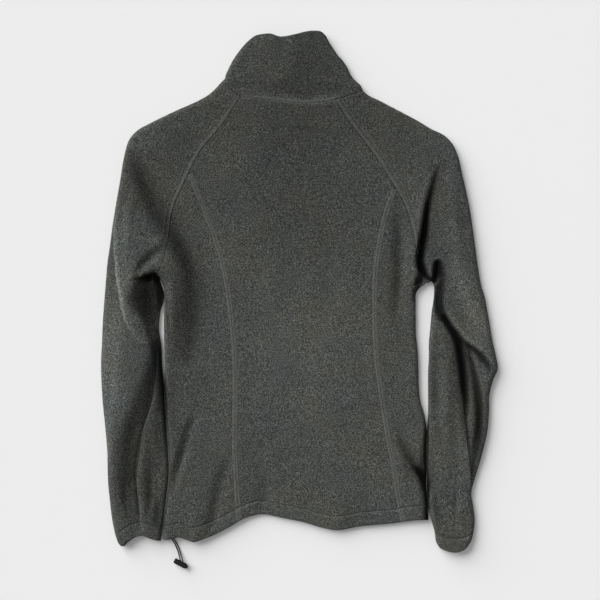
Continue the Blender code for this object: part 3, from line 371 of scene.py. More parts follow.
RIGHT_SLEEVE_FOLDS = [
    ("lip", (3, 8, 9, 8.5, 6, 3, 0), 2.2, 13, 2.2, [(168, 14), (161.5, 36), (163.5, 60), (167, 84),
     (172, 108), (179, 138), (194, 181)]),
    ("trough", (0, 2, 5, 6.5, 6.5, 6, 3), 4.6, 0, 0, [(191, 172), (183, 138), (175, 108), (171, 84),
     (168, 60), (167, 38), (174, 20)]),
    ("trough", (5, 8, 8, 6), 3.6, 0, 0, [(190, 42), (189.5, 32), (188, 22), (187, 12)]),
    ("trough", (4, 5, 4), 5.0, 0, 0, [(161, 10), (166, 13), (176, 12)]),
    ("trough", (2, 3, 3, 1), 5.0, 0, 0, [(189, 6), (190, -10), (192, -26), (199, -42)]),
    ("lip", (1, 6, 9, 9.5, 9, 6, 1), 2.4, 14, 3.0, [(198, 12), (199, -13), (210, -42), (229, -66),
     (248, -84), (261, -102), (267, -114)]),
    ("trough", (1, 6, 9, 9, 8, 6, 3, 0), 4.6, 0, 0, [(200, -34), (210, -50), (219, -70), (222, -90),
     (225, -114), (228, -144), (229, -168), (229, -190)]),
    ("lip", (0, 4, 5, 5, 3), 2.4, 12, 2.0, [(237, -278), (234, -240), (231, -215), (229, -192),
     (227, -168)]),
    ("trough", (0, 4, 6, 6.5, 6, 4, 0), 4.2, 0, 0, [(233, -77), (240, -106), (245, -138), (248, -166),
     (247, -192), (243, -214), (238, -244)]),
    ("ridge", (0, 1.6, 2.2, 0), 7.0, 0, 0, [(206, -70), (204, -120), (205, -190), (208, -250)]),
    ("trough", (0, 1.8, 1.8, 0), 6.0, 0, 0, [(189, -80), (190, -130), (189, -190)]),
    ("trough", (0, 1.4, 0), 4.0, 0, 0, [(213, -262), (216, -292), (214, -322)]),
    ("ridge", (0, 1.8, 1.4, 0), 8.0, 0, 0, [(210, 176), (214, 120), (221, 66), (232, 10)]),
    ("trough", (0, 1.6, 0), 4.0, 0, 0, [(224, 104), (231, 96), (240, 86)]),
    ("trough", (0, 1.3, 0), 7.0, 0, 0, [(200, 60), (214, 30), (232, 14)]),
]
BODY_FOLDS = [
    ("trough", (0, 3, 4, 4, 4, 3, 0), 11.0, 0, 0, [(-180, 108), (-168, 78), (-154, 40), (-154, -5),
     (-156, -40), (-160, -80), (-166, -112)]),
    ("ridge", (0, 2.2, 2.2, 0), 7.0, 0, 0, [(-178, 60), (-177, -12), (-177, -100)]),
    ("trough", (0, 3, 4, 4, 1), 6.0, 0, 0, [(-144, -166), (-156, -198), (-165, -230), (-172, -254),
     (-178, -282)]),
    ("trough", (0, 2.4, 3, 2), 8.0, 0, 0, [(-98, -226), (-113, -271), (-122, -325)]),
    ("trough", (0, 3, 3, 0), 7.0, 0, 0, [(136, 130), (137, 71), (137, 10), (131, -50)]),
    ("trough", (0, 3, 4, 5, 6, 6), 6.5, 0, 0, [(134, -196), (145, -216), (155, -234), (163, -248),
     (171, -258), (178, -272)]),
    ("ridge", (0, 1.8, 1.6, 0), 8.0, 0, 0, [(120, -170), (136, -206), (142, -246), (146, -280)]),
    ("trough", (0, 2.2, 2.2), 14.0, 0, 0, [(-45, -235), (-49, -285), (-49, -330)]),
    ("ridge", (0, 2.5, 2.5), 12.0, 0, 0, [(-146, -290), (-143, -330), (-143, -355)]),
    ("trough", (0, 1.5, 0), 10.0, 0, 0, [(-92, -180), (-68, -216), (-40, -256)]),
    ("ridge", (0, 1.5, 1.8), 16.0, 0, 0, [(55, -250), (52, -300), (50, -345)]),
    ("trough", (0, 1.2, 0), 12.0, 0, 0, [(84, -240), (92, -286), (96, -330)]),
    ("ridge", (0, 1.2, 0), 16.0, 0, 0, [(-60, 120), (-40, 20), (-52, -90)]),
    ("trough", (0, 1.0, 0), 18.0, 0, 0, [(30, 150), (40, 40), (28, -100)]),
    ("trough", (0, 1.3, 0), 9.0, 0, 0, [(-20, -160), (16, -196), (60, -214)]),
    ("trough", (0, 1.0, 0), 8.0, 0, 0, [(70, -60), (90, -110), (92, -170)]),
]
COLLAR_FOLDS = [
    ("trough", (0, 1.6, 2.4), 9.0, 0, 0, [(-30, 292), (-24, 326), (-22, 358)]),
    ("ridge", (0, 1.4, 1.6), 14.0, 0, 0, [(12, 290), (16, 322), (17, 360)]),
    ("ridge", (0, 1.2, 1.4), 12.0, 0, 0, [(-60, 288), (-54, 320), (-48, 352)]),
    ("trough", (0, 0.8, 0.5, 0), 6.0, 0, 0, [(74, 262), (62, 272), (40, 278), (10, 280)]),
    ("trough", (0, 0.7, 0), 6.0, 0, 0, [(-96, 282), (-76, 286), (-50, 284)]),
]


def fold_places(x, y, path):
    """For each point: its distance from a path, negative on the right of it, its share of the way along, and
    the direction to the right of the path there."""
    line = spline(path, 9 * len(path))
    start, step = line[:-1], np.diff(line, axis=0)
    length = np.linalg.norm(step, axis=1)
    px, py = x[:, None] - start[:, 0], y[:, None] - start[:, 1]
    along = np.clip((px * step[:, 0] + py * step[:, 1]) / length ** 2, 0.0, 1.0)
    gap = np.hypot(px - along * step[:, 0], py - along * step[:, 1])
    near = gap.argmin(axis=1)
    pick = np.arange(len(x)), near
    share = (lengths(line)[near] + along[pick] * length[near]) / length.sum()
    side = np.sign(step[near, 0] * py[pick] - step[near, 1] * px[pick])
    right = np.stack([step[near, 1], -step[near, 0]], axis=1) / length[near, None]
    return gap[pick] * side, share, right


def near_path(x, y, path, reach):
    """Which points lie within reach of the box round a path."""
    line = np.array(path, float)
    return ((x > line[:, 0].min() - reach) & (x < line[:, 0].max() + reach)
            & (y > line[:, 1].min() - reach) & (y < line[:, 1].max() + reach))


def along_path(share, values):
    """Read values that are evenly spread along a path at shares of the way. One value holds all along."""
    return np.interp(share, np.linspace(0.0, 1.0, np.size(values)), np.atleast_1d(values))


NOSE_FROM, NOSE_OVER, NOSE_REACH = -1.0, 1.6, 7.0       # across a lip: where its nose starts, and how it ends


def fold_move(x, y, form, heights, width, reach, overhang, path):
    """Height and sideways move that one fold adds.

    Ridge and trough: height * exp(-(d / width)^2), and beyond the ends of the path this fades away. Lip: on
    the high side a round nose, half the height * tanh(d / 1.3 width), on the low side a steep drop, half the
    height * tanh(d / 0.4 width), and both fade as exp(-(d / reach)^2). The nose moves over the low side by
    the overhang.
    """
    across, share, right = fold_places(x, y, path)
    height = along_path(share, heights)
    past_end = ((share <= 0.0) | (share >= 1.0)).astype(float)
    height = height * (1.0 - past_end * smooth(np.abs(across) / (0.5 * (width + reach))))
    if form != "lip":
        return (height if form == "ridge" else -height) * np.exp(-(across / width) ** 2), np.zeros_like(right)
    rise = np.where(across > 0.0, np.tanh(across / (1.3 * width)), np.tanh(across / (0.4 * width)))
    nose = smooth((across - NOSE_FROM) / NOSE_OVER) * np.exp(-np.maximum(across, 0.0) / NOSE_REACH)
    size = height / max(heights)
    return 0.5 * height * rise * np.exp(-(across / reach) ** 2), right * (overhang * nose * size)[:, None]


FOLDS = LEFT_SLEEVE_FOLDS + RIGHT_SLEEVE_FOLDS + BODY_FOLDS + COLLAR_FOLDS
print(len(FOLDS), "folds")

# %% [markdown]
# ## Painted shade and light
#
# The shade in the folds and the light on their ridges are painted into the fleece's colour. Dark strokes are
# painted shade: in the creases, the hollows at the armpits and elbows, the gaps between the sleeves and the
# body, and broadly over the upper back, collar and shoulders. Pale strokes are painted light: on the ridges,
# the outer sleeves and the middle of the back. This is a number on the mesh, which is far too coarse for
# fibres, and it multiplies the fleece's colour. It is laid on along the same folds, in strokes with soft
# sides: an amount along the path, above 0 for dark and below 0 for pale, and a width to each side.

# %% Strokes of painted shade and light
# Rows: power of the falloff, amounts, widths on the left of the path, widths on its right, path (x, y).


SHADE_AND_LIGHT_STROKES = [
    # left arm band, over the raglan seam and down the side
    (2, (0.28, 0.5, 0.57, 0.61, 0.63, 0.62, 0.61, 0.62, 0.63, 0.64, 0.63, 0.62, 0.6, 0.45, 0), (9, 12,
     15.5, 18, 18, 17.5, 18, 19, 19, 18, 16, 13.5, 11, 8.5, 5), (11, 13, 14.5, 14, 13, 11.5, 11.5, 11.5,
     12, 12, 12, 11, 10, 8, 5), [(-230, 187), (-223, 167.5), (-215, 147), (-206.5, 126.5), (-195.5, 104),
     (-184.5, 85), (-173.5, 67), (-162.5, 49), (-154, 29.5), (-150, 6), (-149.5, -14.5), (-150, -39.5),
     (-152, -67), (-156, -92), (-161, -115)]),
    # armpit crease
    (2, (0, 0.1, 0.26, 0.45, 0.52, 0.4), 6, 5, [(-186, 63), (-198.5, 56), (-208, 49), (-216, 40.5),
     (-222, 32.5), (-227.5, 21.5)]),
    # armpit hollow
    (6, (0.74, 0.82, 0.82, 0.78, 0.76, 0.72, 0.68, 0.3), (3, 13, 20, 19, 13, 9, 7, 4), (6, 22, 28, 25, 16,
     11, 9, 5), [(-212, 21.5), (-213, 11.5), (-212, 0.5), (-209.5, -11.5), (-206.5, -29.5), (-205, -43.5),
     (-204, -58.5), (-202.5, -74)]),
    # armpit dark
    (5, (0.5, 0.97, 0.99, 0.99, 0.99, 0.97, 0.6), (3, 5, 6, 5, 5, 4, 3), (3, 6, 9, 9, 7, 4.5, 3),
     [(-220.5, 17), (-206.5, 20), (-199.5, 20), (-194, 10.5), (-191.5, 0.5), (-193, -11.5),
     (-195.5, -25.5)]),
    # inside the elbow
    (3, (0.6, 0.8, 0.8, 0.76, 0.62, 0.4), 6, 6, [(-202.5, -67), (-200.5, -83.5), (-197.5, -101.5),
     (-195, -122), (-194, -141.5), (-195.5, -163.5)]),
    # sleeve's inner edge
    (3, (0.5, 0.96, 0.97, 0.97, 0.97, 0.9, 0.6, 0.3, 0.25, 0.4, 0.5, 0.55), (3, 3, 3, 3.5, 4, 4, 4, 4, 4,
     4, 5, 5), (3, 5.6, 6, 5.6, 4.6, 3.6, 3, 3, 3, 3, 3, 3), [(-197, -53), (-193.5, -80.5), (-190, -108.5),
     (-187.5, -129), (-186.5, -149.5), (-186, -177.5), (-185, -205), (-181.5, -232.5), (-180.5, -249),
     (-183, -274), (-188, -304.5), (-190.5, -326.5)]),
    # forearm band
    (3, (0.3, 0.66, 0.66, 0.6, 0.56, 0.54, 0.52, 0.47, 0.38, 0.1), (5, 6, 7, 9, 10, 10, 9, 9, 8, 6), (9,
     11, 13, 15, 15, 15, 15, 14, 12, 8), [(-199.5, -75), (-205, -111), (-212, -138.5), (-220.5, -166.5),
     (-233, -194), (-237, -221.5), (-238.5, -246.5), (-238.5, -274), (-235.5, -304.5), (-233, -337.5)]),
    # forearm line
    (2, (0.2, 0.5, 0.6, 0.64, 0.66, 0.66, 0.68, 0.68, 0.66, 0.4), 2.4, (5, 6, 6, 6, 5.5, 5, 5, 5, 4.5, 4),
     [(-198.5, -78), (-201, -115), (-205, -145.5), (-210, -167.5), (-218.5, -191), (-224.5, -218.5),
     (-228, -243.5), (-226.5, -265.5), (-224, -293), (-223, -321)]),
    # forearm inner
    (2, (0, 0.3, 0.35, 0.2, 0), 5, 5, [(-206.5, -246.5), (-206.5, -267), (-206.5, -285), (-209.5, -301.5),
     (-209.5, -318)]),
    # cuff inner
    (2, (0, 0.3, 0.35, 0.1), 6, 6, [(-193, -285), (-195.5, -299), (-197, -312.5), (-197, -329)]),
    # left body edge
    (2, (0, 0.4, 0.45, 0.3, 0.1, 0), 2.6, 2.6, [(-187.5, 10.5), (-184, -9), (-182.5, -36.5), (-181.5, -67),
     (-181, -97.5), (-181.5, -122)]),
    # forearm nose
    (2, (0, 0.3, 0.4, 0.42, 0.4, 0.4, 0.36, 0.3, 0), (3.4, 3.4, 3.4, 3, 3, 3, 3, 3, 3), (2, 2, 2, 2, 2, 2,
     2, 2, 2), [(-195, -83.5), (-197, -115), (-200.5, -145.5), (-205, -167.5), (-213.5, -191),
     (-219.5, -218.5), (-223, -243.5), (-222, -265.5), (-219, -293)]),
    # right wedge top
    (2, (0, 0.1, 0.24, 0.42, 0.56, 0.6), (6, 8, 9.5, 9, 8, 6), (5, 6, 6, 5, 4, 4), [(195, 191),
     (189.5, 172), (184.5, 154), (180.5, 140), (177.5, 129), (175.5, 115)]),
    # right wedge
    (5, (0.5, 0.94, 0.97, 0.98, 0.98, 0.98, 0.98, 0.98, 0.97, 0.9), (3.6, 4.8, 6, 6.8, 8, 8.4, 8.2, 7, 5,
     3), (2.6, 3.4, 4.4, 5, 6, 6.4, 6.4, 6, 5, 3), [(176.5, 126.5), (174.5, 112.5), (173.5, 98.5),
     (171.5, 82), (167.5, 64), (165.5, 50.5), (166, 39.5), (169.5, 29.5), (175.5, 20.5), (182.5, 16)]),
    # beside the wedge
    (2, (0, 0.24, 0.3, 0.3, 0.24, 0), 8, 7, [(185.5, 132), (181, 109.5), (180, 87.5), (178.5, 65.5),
     (178.5, 46), (180, 29.5)]),
    # armpit underside
    (4, (0.6, 0.8, 0.8, 0.72, 0.5), (7, 7, 6, 5, 4), (6, 6, 6, 5, 4), [(170, 32.5), (166, 21.5),
     (163.5, 10.5), (160.5, 0.5), (157.5, -11.5)]),
    # slit
    (5, (0.97, 0.99, 0.99, 0.97, 0.9), (7, 8, 7.6, 5.6, 4), (6, 7, 6.6, 5, 4), [(189.5, 38), (189.5, 34),
     (189, 27), (186.5, 20), (184.5, 14.5)]),
    # under the elbow
    (4, (0.4, 0.72, 0.82, 0.86, 0.87, 0.87, 0.88), (5, 6.4, 7.4, 8, 8, 7, 5.4), (5, 6, 6.5, 7.4, 7.6, 7,
     5.4), [(196.5, 38), (195, 21.5), (193.5, 5), (192, -10.5), (193, -24), (196.5, -34), (202, -42)]),
    # valley 1
    (4, (0.8, 0.97, 0.98, 0.98, 0.98, 0.98, 0.97, 0.9, 0.5, 0), (5, 7, 9, 9.6, 9.4, 9, 8, 5.6, 3.6, 2), (4,
     5, 6, 6.4, 6, 5.8, 5, 3.6, 2.6, 2), [(198, -35), (204.5, -46), (213, -59.5), (219, -74), (222.5, -93),
     (225, -114), (226.5, -133), (228.5, -149.5), (229.5, -167.5), (230, -188.5)]),
    # beside valley 1
    (2, (0, 0.3, 0.36, 0.36, 0.34, 0.3, 0.2, 0), 3, (6, 9, 10, 10, 9, 8, 7, 5), [(199, -46), (209, -69.5),
     (214.5, -94.5), (217, -119.5), (221, -147), (225.5, -174.5), (229.5, -202), (232.5, -230)]),
    # elbow lip
    (2, (0.6, 0.72, 0.75, 0.72, 0.6, 0.2), 1.6, (4, 6, 7, 8, 8, 5), [(221, -65.5), (232.5, -72.5),
     (243.5, -79), (254.5, -88.5), (261, -98), (265.5, -109.5)]),
    # elbow lip's dark
    (3, (0, 0.4, 0.55, 0.55, 0.3), (2, 3, 3, 3, 2), (3, 4, 5, 4, 3), [(239, -79.5), (247.5, -86),
     (254.5, -94.5), (260, -103), (262.5, -112.5)]),
    # valley 2
    (2, (0.5, 0.6, 0.68, 0.75, 0.8, 0.82, 0.85, 0.85, 0.72, 0.6, 0.3), (3, 3, 3, 3, 3.5, 4, 4, 4, 4, 4, 3),
     (3, 4, 5, 6, 8, 10, 10, 8, 5, 3, 3), [(231.5, -75), (236.5, -92), (242.5, -111), (247.5, -133),
     (250, -149.5), (251, -170.5), (250, -191), (247.5, -209), (243.5, -225.5), (239, -243.5),
     (238, -263)]),
    # right gap line
    (4, (0.6, 0.95, 0.97, 0.97, 0.97, 0.97, 0.95, 0.95), (3, 3, 3, 3, 3, 3, 3, 3), (4, 4.6, 5, 5, 5, 5, 5,
     5), [(175.5, -174.5), (176, -187), (175.5, -205), (175, -232.5), (176, -260), (176.5, -281),
     (176.5, -301.5), (177, -316.5)]),
    # gap shade
    (2, (0.2, 0.4, 0.6, 0.75, 0.6, 0.45, 0.45), 5, (5, 6, 8, 9, 8, 7, 7), [(174.5, -191), (173, -212),
     (170, -231), (168, -246.5), (171, -271), (172, -292), (173.5, -314)]),
    # right pit
    (5, (0.4, 0.95, 0.98, 0.98, 0.9), (2, 6.6, 8.5, 6.5, 4), (2, 4.6, 6.5, 5.5, 4), [(155, -241),
     (163.5, -248.5), (169.5, -256), (173.5, -267), (175.5, -281)]),
    # hip fold
    (2, (0, 0.16, 0.3, 0.5, 0.7), (7, 8, 8, 6, 5), (7, 8, 8, 6, 5), [(135.5, -199.5), (144, -214.5),
     (152, -228.5), (159, -239.5), (166, -249)]),
    # right sleeve inner
    (2, (0, 0.2, 0.34, 0.4, 0.36, 0), (3, 4, 6, 8, 8, 6), (3, 3, 3, 3, 3, 3), [(182.5, -191),
     (181, -218.5), (181, -253), (184, -281), (188, -308.5), (191, -343)]),
    # right side trough
    (2, (0, 0.24, 0.32, 0.32, 0.28, 0.16, 0), 7, (8, 13, 14, 13, 11, 9, 7), [(137, 140), (139, 109.5),
     (138.5, 76.5), (136.5, 40.5), (135, 2), (133, -39.5), (134.5, -80.5)]),
    # left hip
    (2, (0, 0.2, 0.28, 0.24, 0.2, 0), 5, 5, [(-146, -166.5), (-154, -191), (-159.5, -216), (-168, -238),
     (-173.5, -257.5), (-177.5, -281)]),
    # left princess hem
    (2, (0, 0.2, 0.3, 0.3, 0.2), 7, 7, [(-97.5, -216), (-104.5, -246.5), (-112.5, -276.5), (-121, -304.5),
     (-129.5, -329)]),
    # collar foot
    (2, (0, 0.1, 0.14, 0.14, 0.1, 0), 8, 7, [(-88, 289), (-61.5, 286.5), (-27, 281), (14, 279.5),
     (50, 283.5), (72, 294.5)]),
    # left ridge
    (2, (0, -0.12, -0.24, -0.3, -0.32, -0.3, -0.3, -0.28, -0.26, -0.2, 0), (2, 2.2, 2.6, 2.8, 3, 3.4, 3.8,
     4, 4, 4, 4), 2.2, [(-250.5, 137.5), (-253.5, 112.5), (-255, 87.5), (-255, 63), (-254, 32.5),
     (-250.5, 7.5), (-246.5, -16), (-240.5, -39.5), (-232, -57.5), (-220.5, -71), (-208, -79.5)]),
    # left outer arm
    (2, (0, -0.2, -0.34, -0.4, -0.42, -0.38, -0.28, -0.14, 0), 16, 14, [(-234, 126.5), (-242.5, 71),
     (-245, 29.5), (-252, -25.5), (-259, -74), (-262, -115), (-256.5, -149.5), (-259, -205),
     (-259, -260)]),
    # lobe
    (2, (0.06, 0.22, 0.28, 0.2, 0.08, 0), 5.5, 5.5, [(-219, 24), (-210.5, 30.5), (-202.5, 34),
     (-195, 30.5), (-188, 20), (-181.5, 10.5)]),
    # right outer arm
    (2, (0, -0.04, -0.14, -0.26, -0.26, 0), 12, 12, [(203.5, 140), (209, 85), (215.5, 36.5),
     (229.5, -11.5), (243.5, -46), (260, -80.5)]),
    # right fold edge
    (2, (0, -0.35, -0.4, -0.3, 0), 2.4, 2.4, [(226.5, -191), (230, -213), (232.5, -232.5), (235, -253),
     (235, -276.5)]),
    # elbow edge
    (2, (0, -0.3, -0.3, -0.2), 4, 4, [(202, -23), (221, -54.5), (246, -75), (265.5, -97.5)]),
    # upper back
    (2, (0.22, 0.23, 0.21, 0.1, 0.03, 0), 105, 105, [(0.5, 278), (0.5, 195.5), (0.5, 126.5), (0.5, 43.5),
     (0.5, -53), (0.5, -149.5)]),
    # middle back
    (2, (0, -0.07, -0.1, -0.06, 0), 70, 70, [(0.5, 78), (0.5, -11.5), (0.5, -94.5), (0.5, -163.5),
     (0.5, -218.5)]),
    # collar edge
    (2, (0, -0.12, -0.2, -0.22, -0.24, -0.18, 0), (4, 5, 6, 6, 6, 6, 5), (3, 4, 4, 4, 4, 4, 3),
     [(-74, 274), (-57.5, 270), (-34, 265), (-6.5, 262), (21, 263), (42, 266.5), (58.5, 274)]),
    # collar
    (2, (0.12, 0.12, 0.08), 60, 60, [(3, 350), (3, 305.5), (3, 278)]),
    # left shoulder
    (2, (0.1, 0.14, 0.1), 40, 40, [(-117, 250.5), (-165, 209), (-206.5, 140)]),
    # right shoulder
    (2, (0.1, 0.16, 0.16, 0.12), 40, 40, [(97, 250.5), (166, 195.5), (193.5, 126.5), (200.5, 57.5)]),
    # right side
    (2, (0, 0.08, 0.1, 0.06, 0), 30, 30, [(138.5, 85), (145.5, -11.5), (145.5, -94.5), (138.5, -191),
     (131.5, -287.5)]),
    # left forearm inner
    (2, (0, 0.25, 0.28, 0.2, 0), 14, 14, [(-199.5, -149.5), (-202.5, -191), (-205, -232.5), (-205, -287.5),
     (-206.5, -343)]),
    # left raglan end
    (2, (0, 0.14, 0.16, 0.1, 0), 8, 8, [(-176, 132), (-183, 105.5), (-186, 82), (-184.5, 57.5),
     (-181.5, 29.5)]),
    # right armpit side
    (2, (0, 0.12, 0.14, 0.1, 0), 7, 7, [(144, 126.5), (151, 107), (155, 87.5), (156.5, 65.5),
     (156.5, 40.5)]),
    # beside the right gap
    (2, (0, 0.14, 0.18, 0.18, 0.14, 0), (4, 7, 8, 8, 7, 5), 3, [(189.5, -42), (184, -74), (181, -108.5),
     (180, -143), (180, -170.5), (181, -191)]),
    # forearm right
    (2, (0, 0.07, 0.1, 0.08, 0.06, 0), 14, 14, [(193.5, -60), (198, -108.5), (199, -149.5), (202, -205),
     (207.5, -260), (214.5, -322)]),
    # sleeve left up
    (2, (0, 0.1, 0.12, 0.06, 0), 16, 16, [(-195.5, 209), (-206.5, 174.5), (-217.5, 140), (-223, 105.5),
     (-227.5, 71)]),
    # left side
    (2, (0, 0.08, 0.09, 0.07, 0), 8, 8, [(-177.5, -53), (-179, -108.5), (-179, -163.5), (-176, -205),
     (-172, -246.5)]),
]


STROKE_REACH = 2.2          # a stroke is felt this many widths away
PAINTED_LIGHT_GAIN = 1.9             # how much a pale stroke of painted light brightens for its amount


def painted_shade_and_light(x, y):
    """The painted shade and light that the fleece's colour is multiplied by. Each stroke adds amount *
    exp(-(d / width)^power); dark ones, painted shade, combine as shares of what is left, and pale ones,
    painted light, are added."""
    shape = x.shape
    x, y = x.ravel(), y.ravel()
    left, pale = np.ones(len(x)), np.zeros(len(x))
    for power, amounts, widths_left, widths_right, path in SHADE_AND_LIGHT_STROKES:
        near = near_path(x, y, path, STROKE_REACH * max(np.max(widths_left), np.max(widths_right)))
        if near.any():
            across, share, _ = fold_places(x[near], y[near], path)
            width = np.where(across > 0.0, along_path(share, widths_left), along_path(share, widths_right))
            stroke = along_path(share, amounts) * np.exp(-(np.abs(across) / width) ** power)
            left[near] *= 1.0 - np.maximum(stroke, 0.0)
            pale[near] -= np.minimum(stroke, 0.0)
    return (left * (1.0 + PAINTED_LIGHT_GAIN * pale)).reshape(shape)


print(len(SHADE_AND_LIGHT_STROKES), "strokes")

# %% [markdown]
# ## Nap and slow waves
#
# Brushed fleece is never smooth: its nap stands in tufts of four to six millimetres, and under them the
# cloth itself waves a little. Both come from lattice noise, which is a table of random heights read with
# smooth steps between them. A fixed seed gives the same cloth each time.

# %% Lattice noise
LATTICE = 256
NOISE = np.random.default_rng(7).uniform(-1.0, 1.0, (3, LATTICE, LATTICE))
SHEET_SHIFT = (91.7, 37.3)                      # each sheet of noise is read this much further on
TUFTS = ((0.10, 6.3, 0, 0.0), (0.08, 4.1, 1, 5.0))      # of the nap: height, size, sheet of noise, shift
WAVES = ((0.55, 44.0, 2), (0.3, 19.0, 1))       # the cloth's slow waves: height, size, sheet of noise
SLEEVE_FROM, SLEEVE_OVER = 125.0, 75.0          # from here out, and over so much, it rises to the sleeves
COLLAR_FROM, COLLAR_OVER = 190.0, 80.0          # the same from here up, to the collar


def lattice(x, y, size, sheet):
    """Noise of one size, from -1 to 1: the random table read at x / size, y / size, in smooth steps."""
    u, v = x / size + SHEET_SHIFT[0] * sheet, y / size + SHEET_SHIFT[1] * sheet
    i, j = np.floor(u).astype(int), np.floor(v).astype(int)
    s, t = smooth(u - i), smooth(v - j)
    table = NOISE[sheet]
    i, j, i_next, j_next = i % LATTICE, j % LATTICE, (i + 1) % LATTICE, (j + 1) % LATTICE
    low = table[i, j] * (1 - s) + table[i_next, j] * s
    high = table[i, j_next] * (1 - s) + table[i_next, j_next] * s
    return low * (1 - t) + high * t


def nap(x, y):
    """Height of the tufts: height * noise for each of their two sizes, added."""
    return sum(height * lattice(x + shift, y, size, sheet) for height, size, sheet, shift in TUFTS)


def lift(x, y):
    """Height over the floor of the lowest cloth, which rides over the zip's slider."""
    across = smooth(1.0 - np.abs(x - ZIP_X) / LIFT_HALF_WIDTH)
    return LIFT * across * smooth((y - LIFT_FROM_Y) / (LIFT_FULL_Y - LIFT_FROM_Y))


def top(x, y):
    """Height of the uppermost cloth's outer face, and the sideways move of its points."""
    shape = x.shape
    x, y = x.ravel(), y.ravel()
    level = LIE_BODY + (LIE_SLEEVE - LIE_BODY) * smooth((np.abs(x) - SLEEVE_FROM) / SLEEVE_OVER)
    level = level + (LIE_COLLAR - level) * smooth((y - COLLAR_FROM) / COLLAR_OVER)
    for height, size, sheet in WAVES:
        level = level + height * lattice(x, y, size, sheet)
    move = np.zeros((len(x), 2))
    for fold in FOLDS:
        _, _, width, reach, _, path = fold
        near = near_path(x, y, path, 3.0 * max(width, 0.7 * reach))
        if near.any():
            height, sideways = fold_move(x[near], y[near], *fold)
            level[near] += height
            move[near] += sideways
    level = np.clip(level, LIE_LOWEST, LIE_HIGHEST) + OVER_SLIDER * lift(x, y)
    return level.reshape(shape), move.reshape(*shape, 2)

# %% [markdown]
# ## One layer of cloth
#
# A layer is a grid of two faces: the outer face, which shows, and the inner face below it. At a folded
# edge both turn down to half the height in a quarter round. At a seam the outer face has the seam's own
# relief: a flat raised band, where the seam allowance lies below, and the groove that the stitches pull
# in. The inner face stays below the deepest creases, so the wall never crosses itself.

# %% Grid of a layer
SEAM_COLUMNS = np.array([0.0, 0.3, 0.7, 1.2, 1.8, 2.5, 3.2, 3.8, 4.4, 5.0, 5.6, 6.2, 6.8, 7.5])
FOLD_COLUMNS = ROLL * (1.0 - np.cos(np.radians([0, 12, 24, 36, 48, 60, 72, 84])))
BAND_COLUMN = {"princess": 6, "raglan": 9, "collar": 6, "zip": 8}   # the seam column that is stitched
BAND = {kind: SEAM_COLUMNS[column] for kind, column in BAND_COLUMN.items()}
INNER_STITCH = {"raglan": 3, "collar": 2}       # the column of the other row, where a side has two
BAND_RISE, GROOVE, GROOVE_HALF = 0.35, 0.25, 0.6
BAND_PAST, BAND_STEP, GROOVE_PAST = 0.5, 0.8, 0.3       # where a band and its groove end past the stitches
EDGE_SHARE = 0.36                       # the close columns at an end take at most this share of a row
SEAM_DROP, SEAM_ROUND = 0.4, 0.8        # how far the cloth turns down at a seam, and over what width
SEAM_SHADE, STITCH_SHADE = 0.10, 0.08     # painted shade along a seam and in a stitched groove, as shares of the colour
FLATTENED = {"princess": 0.85, "collar": 0.7}   # how much of that turn is pressed out where it is sewn flat
DRAWN = 20.0                            # how far from a fold the inner face is drawn in
HEM_ROUND, HEM_STEP = 1.7, 0.8          # a hem: the round of its edge, and the width of its other steps
HEM_RISE, HEM_GROOVE = 0.5, 0.9         # its turned-up layer, and the groove of its stitches
HEM_GROOVE_SHADE, HEM_RIDGE_HIGHLIGHT, HEM_HIGHLIGHT_AT = 0.22, 0.10, 1.8       # painted shade in its stitched groove, and a painted highlight on the ridge this far below it
LOWER_NAP, LOWER_UP, LOWER_SHARE = 0.35, 0.12, 0.8      # the side on the floor: nap, height, share of relief
THINNEST, LAYERS_APART = 0.9, 0.25      # of the upper cloth: its thinnest, and its least gap to the lower
HOLLOW_DEEP, HOLLOW_SHADE = 4.0, 0.45    # a hollow this deep gets the most painted shade, this share of its colour


def columns(width, start_folded, end_folded, cells):
    """Distances from a row's start for each row, in millimetres."""
    ends = [FOLD_COLUMNS if folded else SEAM_COLUMNS for folded in (start_folded, end_folded)]
    low, high = (near[None, :] * np.minimum(1.0, EDGE_SHARE * width / near[-1])[:, None] for near in ends)
    high = width[:, None] - high[:, ::-1]
    share = np.linspace(0.0, 1.0, cells + 1)[None, 1:-1]
    return np.concatenate([low, low[:, -1:] + (high[:, :1] - low[:, -1:]) * share, high], axis=1)


def rounded(distance, radius=ROLL):
    """A quarter round by distance from an edge: 0 there, and 1 where the cloth lies flat."""
    inward = np.clip(distance / radius, 0.0, 1.0)
    return np.sqrt(np.clip(1.0 - (1.0 - inward) ** 2, 0.0, 1.0))


def drawn_in(distance):
    """How much of the cloth's thickness the inner face is drawn in by, at a distance from a fold."""
    return np.clip(1.0 - distance / DRAWN, 0.0, 1.0) ** 2


def seam_relief(distance, kind, sewn=1.0):
    """The cloth's turn at a seam, and its sewn band, if it has one: a drop exp(-(d / round)^2) at the seam, a
    flat rise as far as the outer stitches, and the groove they pull in. The last of the three is painted shade
    at the seam and in the groove, which the colour is multiplied by. sewn is 0 where the band ends."""
    at_seam = np.exp(-(distance / SEAM_ROUND) ** 2)
    if kind not in BAND:
        return -SEAM_DROP * at_seam, np.zeros_like(distance), 1.0 - SEAM_SHADE * at_seam
    at_seam = at_seam * (1.0 - FLATTENED.get(kind, 0.0) * sewn)
    band = sewn * smooth((BAND[kind] + BAND_PAST - distance) / BAND_STEP)
    at_stitch = sewn * np.exp(-((distance - BAND[kind] - GROOVE_PAST) / GROOVE_HALF) ** 2)
    return (BAND_RISE * band - SEAM_DROP * at_seam - GROOVE * at_stitch, band * (1.0 - at_seam),
            (1.0 - SEAM_SHADE * at_seam) * (1.0 - STITCH_SHADE * at_stitch))


def over_cells(z, size, measure):
    """Measure a grid's values over so many cells each way: np.min for the lowest, np.mean for a blur."""
    for axis in (0, 1):
        padded = np.pad(z, [(size, size) if a == axis else (0, 0) for a in (0, 1)], mode="edge")
        count = z.shape[axis]
        z = measure([np.take(padded, range(k, k + count), axis=axis) for k in range(2 * size + 1)], axis=0)
    return z


